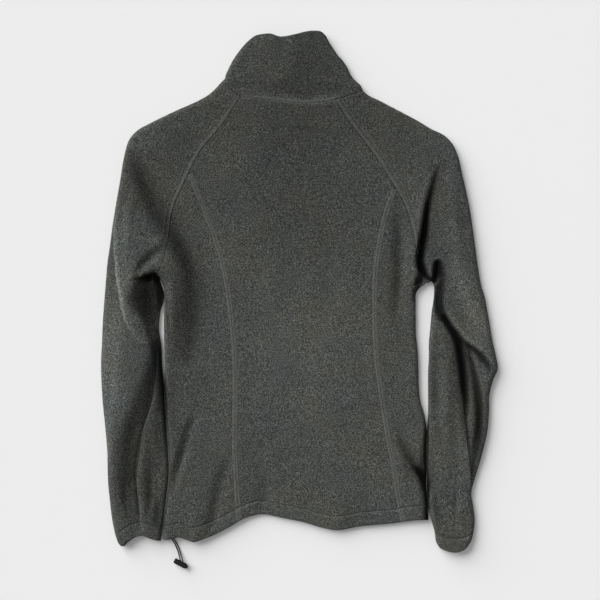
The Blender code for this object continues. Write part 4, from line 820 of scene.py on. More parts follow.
def cloth_faces(plan, inner_plan, full, relief, upper, thick, hem):
    """Give a layer its height: outer and inner grids of points, and the painted shade and light on its colour.

    full is 0 at a folded edge, where both faces meet halfway, and 1 where the cloth lies flat. hem is each
    point's distance above the hem's edge, and the distance of the hem's stitches.
    """
    x, y = plan[..., 0], plan[..., 1]
    low = lift(x, y)
    level, move = top(x, y)
    middle = 0.5 * (level + low)
    tufts = nap(x, y) * (1.0 if upper else LOWER_NAP)
    edge, stitched = hem
    at_stitch = np.exp(-((edge - stitched) / HEM_STEP) ** 2)
    relief = relief + HEM_RISE * smooth((stitched - 0.2 - edge) / HEM_STEP) - HEM_GROOVE * at_stitch
    if upper:
        flat = level + (relief + tufts)
        under = over_cells(over_cells(level, 3, np.min), 2, np.mean) - thick
        under = np.maximum(np.minimum(under, level - THINNEST), low + thick + LAYERS_APART)
        outer_plan = plan + move * full[..., None]
        # painted shade: where the cloth lies lower than round about, its colour is darkened
        hollow = np.clip((over_cells(level, 5, np.mean) - level) / HOLLOW_DEEP, 0.0, 1.0)
        painted_light = (1.0 - HOLLOW_SHADE * hollow) * painted_shade_and_light(outer_plan[..., 0], outer_plan[..., 1])
    else:
        flat = low + np.maximum(LOWER_UP - relief - tufts, 0.0) * LOWER_SHARE
        under = low + thick
        outer_plan, painted_light = plan, np.ones_like(level)
    outer_z, inner_z = middle + (flat - middle) * full, middle + (under - middle) * full
    # painted shade in the hem's stitched groove, and a painted highlight on the ridge below it
    ridge = np.exp(-(edge - stitched + HEM_HIGHLIGHT_AT) ** 2)
    painted_light = painted_light * (1.0 - HEM_GROOVE_SHADE * at_stitch) * (1.0 + HEM_RIDGE_HIGHLIGHT * ridge)
    centre, half_wall = 0.5 * (outer_z + inner_z), 0.5 * (outer_z - inner_z) * rounded(edge, HEM_ROUND)
    apart = 0.5 * SEAM * (full < 0.001) * (1.0 if upper else -1.0)
    return (np.dstack([outer_plan, centre + half_wall + apart]),
            np.dstack([inner_plan, centre - half_wall + apart]), painted_light)


def cloth_layer(starts, ends, cells, bend, start_fold, end_fold, kinds, upper, hem, sewn):
    """One layer, a row for each pair of start and end points: its faces, bands and painted shade and light.

    start_fold and end_fold are 0 where that end of a row is a seam and 1 where it is folded, row by row.
    kinds names the seams, (start, end): the name of a sewn band, "plain" where the band is on the other side,
    or None where there is no seam. sewn is how much of a band each row has.
    """
    width = np.linalg.norm(ends - starts, axis=1)
    from_start = columns(width, start_fold.max() > 0, end_fold.max() > 0, cells)
    from_end = width[:, None] - from_start
    direction = ((ends - starts) / width[:, None])[:, None]
    plan = starts[:, None] + direction * from_start[..., None]
    start_fold, end_fold = start_fold[:, None], end_fold[:, None]
    full = np.minimum(1.0 - start_fold * (1.0 - rounded(from_start)),
                      1.0 - end_fold * (1.0 - rounded(from_end)))
    drawn = start_fold * drawn_in(from_start) - end_fold * drawn_in(from_end)
    inner_plan = plan + direction * (CLOTH * drawn)[..., None]
    relief, band, dark = np.zeros_like(full), np.zeros_like(full), np.ones_like(full)
    # dark gathers the seams' painted shade
    for distance, fold, kind in ((from_start, start_fold, kinds[0]), (from_end, end_fold, kinds[1])):
        if kind:
            seam, pressed, shade = seam_relief(distance, kind, sewn)
            relief, band = relief + (1.0 - fold) * seam, np.maximum(band, (1.0 - fold) * pressed)
            dark = dark * (1.0 - (1.0 - fold) * (1.0 - shade))
    outer, inner, painted_light = cloth_faces(bend(plan), bend(inner_plan), full, relief, upper, CLOTH, hem)
    return outer, inner, band, painted_light * dark

# %% Mesh of a wall
INSIDE = {"band": 0.0, "painted_light": 0.8}     # the marks of a wall's inner face: no band, and a fixed painted shade


def mesh_object(name, points, faces, smooth_faces=True):
    """An object from an array of points in millimetres and an array of faces with as many corners each."""
    mesh = bpy.data.meshes.new(name)
    mesh.vertices.add(len(points))
    mesh.vertices.foreach_set("co", (points * MM).astype(np.float32).ravel())
    mesh.loops.add(faces.size)
    mesh.loops.foreach_set("vertex_index", faces.astype(np.int32).ravel())
    mesh.polygons.add(len(faces))
    mesh.polygons.foreach_set("loop_start", np.arange(0, faces.size, faces.shape[1], dtype=np.int32))
    mesh.update(calc_edges=True)
    mesh.polygons.foreach_set("use_smooth", np.full(len(faces), smooth_faces))
    piece = bpy.data.objects.new(name, mesh)
    scene_objects.link(piece)
    return piece


def wall(name, outer, inner, marks):
    """A closed wall between two grids of points, with marks as numbers on its points: the grids' own cells,
    and a strip that joins them along each of the four edges."""
    rows, count = outer.shape[:2]
    front = np.arange(rows * count).reshape(rows, count)
    back = front + rows * count
    parts = [(front[:-1, :-1], front[1:, :-1], front[1:, 1:], front[:-1, 1:]),
             (back[:-1, :-1], back[:-1, 1:], back[1:, 1:], back[1:, :-1]),
             (front[0, :-1], front[0, 1:], back[0, 1:], back[0, :-1]),
             (front[-1, :-1], back[-1, :-1], back[-1, 1:], front[-1, 1:]),
             (front[:-1, 0], back[:-1, 0], back[1:, 0], front[1:, 0]),
             (front[:-1, -1], front[1:, -1], back[1:, -1], back[:-1, -1])]
    quads = np.concatenate([np.stack([side.ravel() for side in part], axis=1) for part in parts])
    faces_up = np.cross(outer[1, 1] - outer[0, 0], outer[0, 1] - outer[1, 0])[2] > 0.0
    points = np.concatenate([outer.reshape(-1, 3), inner.reshape(-1, 3)])
    piece = mesh_object(name, points, quads[:, ::-1] if faces_up else quads)
    for mark, values in marks.items():
        both = np.concatenate([values.ravel(), np.full(values.size, INSIDE[mark])])
        piece.data.attributes.new(mark, "FLOAT", "POINT").data.foreach_set("value", both.astype(np.float32))
    return piece


def cut_of(outer):
    """Width and length of the flat cut, in metres, and its area: the widest row and the longest column."""
    across = np.linalg.norm(np.diff(outer, axis=1), axis=2).sum(axis=1).max()
    down = np.linalg.norm(np.diff(outer, axis=0), axis=2).sum(axis=0).max()
    a, b = outer[1:, 1:] - outer[:-1, :-1], outer[1:, :-1] - outer[:-1, 1:]
    area = 0.5 * np.linalg.norm(np.cross(a, b), axis=2).sum()
    return (round(across * MM, 3), round(down * MM, 3)), round(area * MM * MM, 5)

# %% [markdown]
# ## Fleece
#
# Melange fleece is knitted from dark and pale fibres and brushed on both faces. Close to, it is a salt and
# pepper of charcoal and grey with an odd speck of lint; from a step away it is one soft charcoal. So the
# colour is fine noise in a few sizes, mixed by ramps. Light and shade are painted on top of it through numbers
# on the mesh: a painted highlight along each seam's raised, pressed band, painted shade in the folds and
# painted light on their ridges. Sheen gives the soft bright edge of a nap.

# %% Parts of a finish
class Finish:
    """A material that is being made. Its patterns read the piece's own coordinates, and most of its methods
    add one node and return that node's output."""

    def __init__(self, name, colour, roughness, **sockets):
        made = shader_material(name, colour, roughness, **sockets)
        self.material, self.nodes, self.links, self.shader = made
        self.place = self.nodes.new("ShaderNodeTexCoord").outputs["Object"]

    def feed(self, own, value):
        """Give an input its value, or link it to another node's output."""
        if isinstance(value, bpy.types.NodeSocket):
            self.links.new(value, own)
        else:
            own.default_value = value

    def node(self, kind, output, inputs, **settings):
        made = self.nodes.new("ShaderNode" + kind)
        for setting, value in settings.items():
            setattr(made, setting, value)
        for name, value in inputs.items():
            self.feed(made.inputs[name], value)
        return made.outputs[output]

    def noise(self, scale, detail, rough=0.6):
        return self.node("TexNoise", "Fac", {"Scale": scale, "Detail": detail, "Roughness": rough,
                                             "Vector": self.place})

    def waves(self, scale, direction, distortion=0.0):
        return self.node("TexWave", "Fac", {"Scale": scale, "Distortion": distortion, "Vector": self.place},
                         bands_direction=direction)

    def attribute(self, name):
        return self.node("Attribute", "Fac", {}, attribute_name=name)

    def maths(self, operation, a, b):
        return self.node("Math", 0, {0: a, 1: b}, operation=operation)

    def ramp(self, value, stops):
        """A colour ramp: stops are (place, grey or colour)."""
        made = self.nodes.new("ShaderNodeValToRGB")
        for _ in stops[2:]:
            made.color_ramp.elements.new(0.5)
        for element, (place, colour) in zip(made.color_ramp.elements, stops):
            element.position = place
            element.color = (*colour, 1.0) if isinstance(colour, tuple) else (colour, colour, colour, 1.0)
        self.feed(made.inputs["Fac"], value)
        return made.outputs["Color"]

    def mixed(self, kind, amount, low, high):
        """A colour mix; amount and the two colours are sockets or plain values."""
        made = self.nodes.new("ShaderNodeMix")
        made.data_type = "RGBA"
        made.blend_type = kind
        for name, value in (("Factor", amount), ("A", low), ("B", high)):
            self.feed([s for s in made.inputs if s.name == name and s.enabled][0], value)
        return [s for s in made.outputs if s.enabled][0]

    def paint(self, colour):
        self.feed(self.shader.inputs["Base Color"], colour)

    def bump(self, height, strength, distance):
        """Let a pattern stand up from the surface, by a distance in metres."""
        self.feed(self.shader.inputs["Normal"],
                  self.node("Bump", "Normal", {"Strength": strength, "Distance": distance, "Height": height}))

# %% Fleece material
FLEECE_DARK = (0.0170, 0.0178, 0.0168)
FLEECE_MEAN = (0.0545, 0.0562, 0.0532)
FLEECE_PALE = (0.170, 0.174, 0.165)
LINT = (0.30, 0.30, 0.29, 1.0)
PRESSED_NAP_HIGHLIGHT = (0.165, 0.169, 0.160, 1.0)        # the sewn band's pressed nap, painted paler for the light that its raised band catches


def make_fleece():
    """Fibres and tufts mixed 4 to 1, from dark to pale, then clouds of shade and tint, lint and bands."""
    finish = Finish("fleece", FLEECE_MEAN, 1.0, Sheen_Weight=0.05, Sheen_Roughness=0.5,
                    Specular_IOR_Level=0.1)
    finish.shader.inputs["Sheen Tint"].default_value = (0.80, 0.80, 0.78, 1.0)
    melange = finish.maths("ADD", finish.maths("MULTIPLY", finish.noise(800.0, 2.0, 0.7), 0.80),
                           finish.maths("MULTIPLY", finish.noise(430.0, 1.0), 0.20))
    colour = finish.ramp(melange, [(0.37, FLEECE_DARK), (0.50, FLEECE_MEAN), (0.64, FLEECE_PALE)])
    clouds = finish.ramp(finish.noise(11.0, 3.0), [(0.3, 0.90), (0.7, 1.0)])
    tints = finish.ramp(finish.noise(12.0, 3.0, 0.7), [(0.35, (0.93, 0.985, 1.0)), (0.5, (0.98, 1.0, 0.975)),
                                                       (0.65, (1.0, 0.985, 0.91))])
    for shade in (clouds, tints):
        colour = finish.mixed("MULTIPLY", 1.0, colour, shade)
    lint = finish.ramp(finish.noise(210.0, 1.0), [(0.80, 0.0), (0.83, 1.0)])
    colour = finish.mixed("MIX", finish.maths("MULTIPLY", lint, 0.6), colour, LINT)
    # painted highlight: the sewn band is mixed towards a paler colour, as its raised, pressed nap catches the
    # light
    colour = finish.mixed("MIX", finish.maths("MULTIPLY", finish.attribute("band"), 0.24), colour, PRESSED_NAP_HIGHLIGHT)
    # painted shade and light: the colour's value is multiplied by the painted shade and light on the mesh
    finish.paint(finish.node("HueSaturation", "Color", {"Value": finish.attribute("painted_light"), "Color": colour}))
    finish.bump(melange, 0.6, 0.0009)
    return finish.material


fleece = make_fleece()


def dress(piece, node, material, body="jacket"):
    """Put a finished piece in a node's place: its material and the body that it rides on."""
    piece.data.materials.append(material)
    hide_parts(node)
    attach(piece, body)
    return piece


def lay_cloth(node, grid, lines):
    outer, inner, band, painted_light = grid
    piece = dress(wall(f"{node}_fleece", outer, inner, {"band": band, "painted_light": painted_light}), node, fleece)
    flat, area = cut_of(outer)
    area = min(area, flat[0] * flat[1])
    sew(node, lines)
    print(piece.name, "cut", flat, "area", area, "triangles", 2 * len(piece.data.polygons))

# %% [markdown]
# ## Stitches
#
# The seams are flat, with their allowance sewn down inside. The raglan and collar seams have two rows of
# thread on one side, the princess seams one row on each side, and one row holds the hem and each cuff. A
# stitch is only two millimetres long, but from close by it is what says "sewn". Each one is a low loop
# with eighteen faces whose ends dip into the cloth, and all of a piece's stitches are one mesh.

# %% Thread
STITCH_PITCH, STITCH_LONG = 3.2, 2.4
RING_PLACES = STITCH_LONG * np.array([-0.5, -0.32, 0.0, 0.32, 0.5])     # along the stitch
RING_HALVES = np.array([0.10, 0.25, 0.28, 0.25, 0.10])
RING_TOPS = np.array([-0.25, 0.12, 0.22, 0.12, -0.25])                  # above the cloth
CORNER_SIDES = np.array([-1.0, 0.0, 1.0, 0.0])                          # of a ring: left, top, right, bottom
CORNER_DROPS = np.array([-0.12, 0.0, -0.12, -0.30])
THREAD = (0.085, 0.087, 0.083)
SEWN = []


def make_thread():
    """Spun polyester: a twist of pale and dark, faster along the stitch than a stitch is long."""
    finish = Finish("thread", THREAD, 0.7, Sheen_Weight=0.1)
    finish.paint(finish.ramp(finish.noise(1500.0, 1.0), [(0.35, (0.050, 0.051, 0.049)),
                                                         (0.65, (0.150, 0.153, 0.146))]))
    return finish.material


thread = make_thread()


def bar_faces(count):
    """Faces of so many closed bars, each with five rings of four corners."""
    sides = [(4 * r + k, 4 * r + (k + 1) % 4, 4 * r + 4 + (k + 1) % 4, 4 * r + 4 + k)
             for r in range(4) for k in range(4)]
    one = np.array(sides + [(3, 2, 1, 0), (16, 17, 18, 19)])
    return (one[None] + 20 * np.arange(count)[:, None, None]).reshape(-1, 4)


def sew(node, lines):
    """Stitches along lines on a cloth's outer face, each (points, way): way 1 is an upper face, -1 a lower.

    A corner is the stitch's middle + ring place * along + ring half * corner side * side + (ring top + corner
    drop) * up, so a stitch is below the cloth at both ends and highest in the middle.
    """
    middles, alongs, ups = [], [], []
    for points, way in lines:
        run = lengths(points)
        at = np.arange(0.5 * STITCH_PITCH, run[-1] - 0.5 * STITCH_PITCH, STITCH_PITCH)
        ends = [np.stack([np.interp(at + reach, run, points[:, k]) for k in range(3)], axis=1)
                for reach in (-0.5 * STITCH_LONG, 0.5 * STITCH_LONG)]
        middles.append(0.5 * (ends[0] + ends[1]))
        alongs.append(ends[1] - ends[0])
        ups.append(np.tile((0.0, 0.0, float(way)), (len(at), 1)))
    middle, along, up = (np.concatenate(part)[:, None, None] for part in (middles, alongs, ups))
    along = along / np.linalg.norm(along, axis=-1, keepdims=True)
    side = np.cross(along, up)
    side = side / np.linalg.norm(side, axis=-1, keepdims=True)
    across = CORNER_SIDES[None] * RING_HALVES[:, None]
    height = CORNER_DROPS[None] + RING_TOPS[:, None]
    points = (middle + along * RING_PLACES[None, :, None, None] + side * across[None, ..., None]
              + up * height[None, ..., None])
    piece = mesh_object(f"{node}_stitches", points.reshape(-1, 3), bar_faces(len(middle)))
    piece.data.materials.append(thread)
    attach(piece, "jacket")
    SEWN.append(len(middle))
    return piece

# %% [markdown]
# ## Back
#
# The back is three pieces, joined by two princess seams that curve in at the waist. A body row runs
# straight from side to side, so each back piece takes the part of the row between its own seams. Near the
# hem the rows bend with the wave of its edge, and at the neck the first rows dip with the collar's seam.

# %% Body rows
HEM_BEND_ROW, HEM_BEND_ROWS = 24.0, 3.6     # from this row on the rows bend with the hem, fully after so many


def row_ends(places):
    """Left and right ends of the body's rows at the given row places."""
    ends = at_rows(BODY_ROWS, places)
    return ends[:, :2], ends[:, 2:]


def on_row(left, right, x):
    """Height on the page, y, at x on the straight line between a row's ends."""
    return left[:, 1] + (right[:, 1] - left[:, 1]) * (x - left[:, 0]) / (right[:, 0] - left[:, 0])


def princess_points(places, table):
    """Where rows cross a princess seam, found by going back and forth between the seam and the rows."""
    left, right = row_ends(places)
    y = left[:, 1]
    for _ in range(8):
        x = curve_value(table, y)
        y = on_row(left, right, x)
    return np.stack([x, y], axis=1)


def dip(plan, row, line):
    """How far a seam line (x, y) lies above a straight row, and 0 beside the line's ends."""
    xl, yl, xr, yr = BODY_ROWS[row]
    level = yl + (yr - yl) * (plan[..., 0] - xl) / (xr - xl)
    line = np.array(line, float)
    inside = (plan[..., 0] > line[0, 0]) & (plan[..., 0] < line[-1, 0])
    return np.where(inside, curve_value(line, plan[..., 0]) - level, 0.0)


def body_bend(places, neck_row, neck_fade, neck_line, short=0.0):
    """Bend the rows: near the hem by its wave, and near the neck by the neckline's dip."""
    hem_weight = smooth((places - HEM_BEND_ROW) / HEM_BEND_ROWS)[:, None]
    neck_weight = np.clip(1.0 - (places - neck_row) / neck_fade, 0.0, 1.0)[:, None]

    def bend(plan):
        moved = plan.copy()
        moved[..., 1] += (curve_value(HEM, plan[..., 0]) + short - HEM_LEVEL) * hem_weight
        moved[..., 1] += dip(plan, neck_row, neck_line) * neck_weight
        return moved
    return bend


def inset(starts, ends, at_start, at_end):
    """Pull both ends of each row in, to leave half a seam's gap."""
    direction = (ends - starts) / np.linalg.norm(ends - starts, axis=1, keepdims=True)
    return starts + direction * at_start, ends - direction * at_end


def closing(places):
    """How far a row's outer end is folded: 0 down to the armpit, and 1 from two rows below it."""
    return smooth((places - ARMPIT) / 1.6)


def half_seam(places):
    """Half the gap at a row's outer end: there is a seam down to the armpit, and a fold below it."""
    return np.where(places > ARMPIT, 0.0, 0.5 * SEAM)[:, None]


def row_at(places, place):
    """The row nearest to a place."""
    return int(np.argmin(np.abs(places - place)))

# %% Body pieces
NECK_BACK = (0, 3.0, COLLAR_SEAM[1:-1])             # row, over how many rows its dip fades, and the neckline
NECK_FRONT = (FRONT_NECK_ROW, 7.0, FRONT_NECK)
BODY_MIDDLE = 0.5 * (BODY_ROWS[:, :2] + BODY_ROWS[:, 2:])
body_places, body_stitch = row_places(BODY_MIDDLE, ROW_PITCH, HEM_STITCH)
GRIDS = {}


def lay_body(name, places, starts, ends, cells, folds, kinds, neck, upper=True, short=0.0, sewn=1.0,
             seam_rows=slice(None)):
    """Lay one body piece between two edges, keep its grid, and sew its hem and the seams it has bands on."""
    bend = body_bend(places, *neck, short)
    starts, ends = inset(starts, ends, *(0.5 * SEAM if fold is None else half_seam(places) for fold in folds))
    folds = [np.zeros(len(places)) if fold is None else fold for fold in folds]
    run = lengths(bend(0.5 * (starts + ends)[:, None])[:, 0])
    hem = (run[-1] - run)[:, None], HEM_STITCH
    grid = cloth_layer(starts, ends, cells, bend, *folds, kinds, upper, hem, sewn)
    GRIDS[name] = grid
    way = 1 if upper else -1
    lines = [(grid[0][row_at(places, body_stitch)], way)]
    for kind, at_end in zip(kinds, (False, True)):
        if kind in BAND_COLUMN:
            column = -1 - BAND_COLUMN[kind] if at_end else BAND_COLUMN[kind]
            lines.append((grid[0][seam_rows, column], way))
    lay_cloth(name, grid, lines)


def lay_side(name, side, places, outside, seam, cells, kind, *rest, **more):
    """Lay a body piece between a side fold and a seam. On the jacket's left side the fold comes first."""
    fold = closing(places)
    if side == "left":
        lay_body(f"{name}_left", places, outside, seam, cells, (fold, None), ("plain", kind), *rest, **more)
    else:
        lay_body(f"{name}_right", places, seam, outside, cells, (None, fold), (kind, "plain"), *rest, **more)

# %% Centre back
left_edge, right_edge = (edge.copy() for edge in row_ends(body_places))
below = body_places >= PRINCESS_ROW
left_edge[below] = princess_points(body_places[below], PRINCESS_LEFT)
right_edge[below] = princess_points(body_places[below], PRINCESS_RIGHT)
lay_body("centre_back", body_places, left_edge, right_edge, 108, (None, None), ("princess", "princess"),
         NECK_BACK, sewn=smooth((body_places - PRINCESS_ROW) / 0.4)[:, None], seam_rows=below)

# %% Side backs
side_places = np.concatenate([[PRINCESS_ROW + 0.14], body_places[body_places > PRINCESS_ROW + 0.2]])
for side, outside, table in zip(("left", "right"), row_ends(side_places), (PRINCESS_LEFT, PRINCESS_RIGHT)):
    lay_side("side_back", side, side_places, outside, princess_points(side_places, table), 30, "princess",
             NECK_BACK)

# %% [markdown]
# ## Fronts
#
# The fronts lie below, face down, from the side folds to the zip. They rest on the floor, so they are plain,
# with the same seams as the back and only a light nap. They need fewer points.

# %% Fronts
front_places = body_places[body_places >= FRONT_NECK_ROW][::2]
front_places = np.concatenate([[FRONT_NECK_ROW], front_places[front_places > FRONT_NECK_ROW + 0.05]])
front_places[-1] = LAST_ROW
front_ends = row_ends(front_places)
for side, way, outside in zip(("left", "right"), (-1, 1), front_ends):
    x = np.full(len(front_places), ZIP_X + way * ZIP_GAP)
    zip_edge = np.stack([x, on_row(*front_ends, x)], axis=1)
    lay_side("front", side, front_places, outside, zip_edge, 40, "zip", NECK_FRONT, upper=False,
             short=HEM_FRONT_SHORT)

# %% [markdown]
# ## Sleeves
#
# A raglan sleeve runs from the collar to the cuff. Each is one sheet that goes over the arm and back below
# it, from the raglan seam round the shoulder fold. Below the armpit its two long edges meet in the
# underarm seam, on the inner fold. The elbow's folds are the deepest of the whole jacket, so a sleeve's
# points stand closest together.

# %% Sleeves
CUFF_BEND_FROM, CUFF_BEND_OVER = 60.0, 36.0     # the rows bend from this far above the cuff, over so much
SEWN_ROW, SEWN_FADE, SEWN_MORE = 9.2, 1.8, 1.2  # a raglan seam's band fades here, then its stitches stop
BAND_AT_COLLAR = {"left": 0.3, "right": 1.0}    # how much of that band there is at the collar
NECKS = {}      # what the collar's front is sewn to, each side from the fold to the zip


def cuff_bend(edge, table):
    """Let the rows near the cuff hang down as far as the cuff's edge does at each share of its width."""
    weight = smooth((CUFF_BEND_FROM - edge) / CUFF_BEND_OVER)[:, None]

    def bend(plan):
        start, end = plan[:, :1], plan[:, -1:]
        share = np.linalg.norm(plan - start, axis=2) / np.linalg.norm(end - start, axis=2)
        moved = plan.copy()
        moved[..., 1] -= curve_value(table, share) * weight
        return moved
    return bend


def make_sleeve(side, shoulder, arm, cuff, under):
    """Lay one sleeve: the upper layer, then the lower one, joined at the shoulder fold."""
    outward = 1.0 if side == "right" else -1.0
    arm = np.array(arm, float)
    raglan = BODY_ROWS[:ARMPIT + 1, :2] if side == "left" else BODY_ROWS[:ARMPIT + 1, 2:]
    inner_side = np.vstack([raglan, arm[:, :2]])
    outer_side = np.vstack([np.array(shoulder, float), arm[:, 2:]])
    low_side = inner_side.copy()
    low_side[:2] = under
    places, stitch = row_places(0.5 * (inner_side + outer_side), ROW_PITCH, CUFF_STITCH)
    ends = at_rows(outer_side, places)
    run = lengths(0.5 * (at_rows(inner_side, places) + ends))
    edge = run[-1] - run
    at_collar = BAND_AT_COLLAR[side]
    sewn = 1.0 - smooth((places - SEWN_ROW) / SEWN_FADE)[:, None]
    sewn = sewn * (at_collar + (1.0 - at_collar) * smooth(places / SEWN_FADE)[:, None])
    layers = []
    for line, cells, upper in ((inner_side, 66, True), (low_side, 26, False)):
        starts, stops = inset(at_rows(line, places), ends, half_seam(places), 0.0)
        layers.append(cloth_layer(starts, stops, cells, cuff_bend(edge, cuff), closing(places),
                                  np.ones(len(places)), ("raglan", None), upper, (edge[:, None], CUFF_STITCH),
                                  sewn))
    grid = tuple(np.concatenate([a[:, :-1], b[:, ::-1]], axis=1) for a, b in zip(*layers))
    for face in grid[:2]:
        face[0, :, :2] += (SLEEVE_CLEAR * outward, -SLEEVE_CLEAR)
    outer, fold, cuff_row = grid[0], layers[0][0].shape[1] - 1, row_at(places, stitch)
    NECKS[side] = outer[0, fold + 1:, :2]
    lines = [(outer[cuff_row, :fold], 1), (outer[cuff_row, fold:], -1)]
    stitched = places < SEWN_ROW + SEWN_MORE
    for column in (INNER_STITCH["raglan"], BAND_COLUMN["raglan"]):
        lines += [(outer[stitched, column], 1), (outer[stitched, -1 - column], -1)]
    lay_cloth(f"sleeve_{side}", grid, lines)


make_sleeve("left", SHOULDER_LEFT, ARM_LEFT, CUFF_LEFT, NECK_UNDER_LEFT)
make_sleeve("right", SHOULDER_RIGHT, ARM_RIGHT, CUFF_RIGHT, NECK_UNDER_RIGHT)

# %% [markdown]
# ## Collar
#
# The stand collar is pressed flat by its own weight: one sheet goes from the zip round the left fold,
# across the back, and round the right fold to the zip again. Its plan fills the space between four edge
# lines, with the seam below and the top edge above. This is a Coons patch: the blend of the two lines
# across, plus the blend of the two lines along, less the corners, which both of them count.

# %% Patch between four lines
def share_of(points):
    """Each point's share of the way along a line."""
    run = lengths(points)
    return run / run[-1]


def at_shares(line, shares):
    """Points at the given shares of the way along a line."""
    own = share_of(line)
    return np.stack([np.interp(shares, own, line[:, 0]), np.interp(shares, own, line[:, 1])], axis=1)


def patch(bottom, top_line, start, end, up):
    """Plan points inside four edge lines, at the bottom's own shares across and at the given shares up."""
    across, up = share_of(bottom)[None, :, None], up[:, None, None]
    corners = ((1 - across) * (1 - up) * bottom[0] + across * (1 - up) * bottom[-1]
               + (1 - across) * up * top_line[0] + across * up * top_line[-1])
    return ((1 - up) * bottom[None] + up * top_line[None] + (1 - across) * start[:, None]
            + across * end[:, None] - corners)

# %% Collar
COLLAR_HEIGHT = 88.0
COLLAR_UP = np.concatenate([SEAM_COLUMNS / COLLAR_HEIGHT, np.linspace(0.107, 0.97, 38),
                            1.0 - np.array([1.7, 1.1, 0.6, 0.25, 0.0]) / COLLAR_HEIGHT])
ACROSS_COLUMNS = 66                     # of the collar between the raglan seams
SHORT_OVER = 0.3                        # the front edge drops over this share of the way to the zip
NO_STITCH = -9.0                        # no row of stitches holds the collar's top edge
BACK_FROM, BACK_TO, BACK_FADE = -84.0, 53.0, 5.0            # x where the collar meets the raglan seams
BAND_LEAST, BAND_MORE, BAND_AT, BAND_OVER = 0.45, 0.40, -2.0, 18.0      # its band is fullest near the middle


def collar_seam():
    """The back seam's points, closer together where the sheet turns round its two folds."""
    seam = np.array(COLLAR_SEAM, float)
    ends = []
    for corner, after in ((seam[0], seam[1]), (seam[-1], seam[-2])):
        length = np.linalg.norm(after - corner)
        diagonal = np.concatenate([FOLD_COLUMNS, np.linspace(FOLD_COLUMNS[-1] + 2.0, length - 2.5, 12)])
        ends.append(corner + (after - corner) * (diagonal / length)[:, None])
    x = np.linspace(seam[1, 0], seam[-2, 0], ACROSS_COLUMNS)
    across = np.stack([x, curve_value(seam[1:-1], x)], axis=1)
    return np.vstack([ends[0], across, ends[1][::-1]])


def collar_layer(plan, folded_at_end, upper):
    """Give a plan its height. Its first column is a folded edge, and its last one too if so said."""
    steps = np.linalg.norm(np.diff(plan, axis=1), axis=2)
    along = np.concatenate([np.zeros((len(plan), 1)), np.cumsum(steps, axis=1)], axis=1)
    full, drawn = rounded(along), drawn_in(along)
    if folded_at_end:
        left_over = along[:, -1:] - along
        full, drawn = np.minimum(full, rounded(left_over)), drawn - drawn_in(left_over)
    direction = plan[:, -1:] - plan[:, :1]
    direction = direction / np.linalg.norm(direction, axis=2, keepdims=True)
    inner_plan = plan + direction * (COLLAR_CLOTH * drawn)[..., None]
    up = (COLLAR_UP * COLLAR_HEIGHT)[:, None] + 0.0 * along
    x = plan[:1, :, 0]
    back = smooth((x - BACK_FROM) / BACK_FADE) * smooth((BACK_TO - x) / BACK_FADE) if upper else 1.0
    sewn = back * (BAND_LEAST + BAND_MORE * np.exp(-((x - BAND_AT) / BAND_OVER) ** 2))
    relief, band, dark = seam_relief(up, "collar", sewn)
    outer, inner, painted_light = cloth_faces(plan, inner_plan, full, relief, upper, COLLAR_CLOTH,
                                     (COLLAR_HEIGHT - up, NO_STITCH))
    return outer, inner, band, painted_light * (1.0 - (1.0 - dark) * back)


def collar_front(way, fold, side):
    """The collar's lower layer, from one fold (way -1 left, 1 right) to the zip."""
    front = GRIDS[f"front_{side}"][0][0, :, :2][::-way]
    neck = np.vstack([fold[:1], NECKS[side], front])
    shares = share_of(neck)
    edge_x = ZIP_X + way * ZIP_GAP
    corner = np.array([edge_x, curve_value(COLLAR_TOP, edge_x) - COLLAR_FRONT_SHORT])
    edge = spline(COLLAR_TOP, 201)
    edge = edge[edge[:, 0] * way > edge_x * way][::-way]
    top_line = at_shares(np.vstack([edge, corner]), shares)
    top_line[1:-1, 1] -= COLLAR_FRONT_SHORT * smooth(shares[1:-1] / SHORT_OVER)
    zip_y = neck[-1, 1] + (corner[1] - neck[-1, 1]) * COLLAR_UP
    zip_edge = np.stack([np.full(len(fold), edge_x), zip_y], axis=1)
    plan = patch(neck, top_line, fold, zip_edge, COLLAR_UP)
    clear = COLLAR_CLEAR * (1.0 - COLLAR_UP)[:, None] * (shares > 0)
    plan[:, :, 0] -= way * clear * (shares < 1.0)
    plan[:, :, 1] += clear
    return collar_layer(plan, False, False)


def make_collar():
    """Lay the back between the two folds, then the two fronts, and join the three along the folds."""
    left, right = (at_shares(spline(table, 201), COLLAR_UP) for table in (COLLAR_LEFT, COLLAR_RIGHT))
    bottom = collar_seam()
    back = patch(bottom, at_shares(spline(COLLAR_TOP, 201), share_of(bottom)), left, right, COLLAR_UP)
    back[:, :, 1] += COLLAR_CLEAR * (1.0 - COLLAR_UP)[:, None]
    middle = collar_layer(back, True, True)
    low, high = collar_front(-1, left, "left"), collar_front(1, right, "right")
    grid = tuple(np.concatenate([a[:, :0:-1], b, c[:, 1:]], axis=1) for a, b, c in zip(low, middle, high))
    first = low[0].shape[1] - 1
    last = first + len(bottom) - 1
    diagonal = (len(bottom) - ACROSS_COLUMNS) // 2
    lines = []
    for row in (INNER_STITCH["collar"], BAND_COLUMN["collar"]):
        thread_row = grid[0][row]
        lines += [(thread_row[:first], -1), (thread_row[first + diagonal:last - diagonal], 1),
                  (thread_row[last:], -1)]
    lay_cloth("collar", grid, lines)


make_collar()
print(sum(SEWN), "stitches")

# %% [markdown]
# ## Zip
#
# The front closes with a size 5 moulded zip, which the jacket lies on. Each tooth is moulded on the tape's
# edge and has a head that sits between the two teeth across from it, so the chain is a row of teeth that
# come from the left and the right in turn. One tooth is a low form with eighteen faces, and all of them
# are one mesh, made by adding each tooth's place to the same few points.

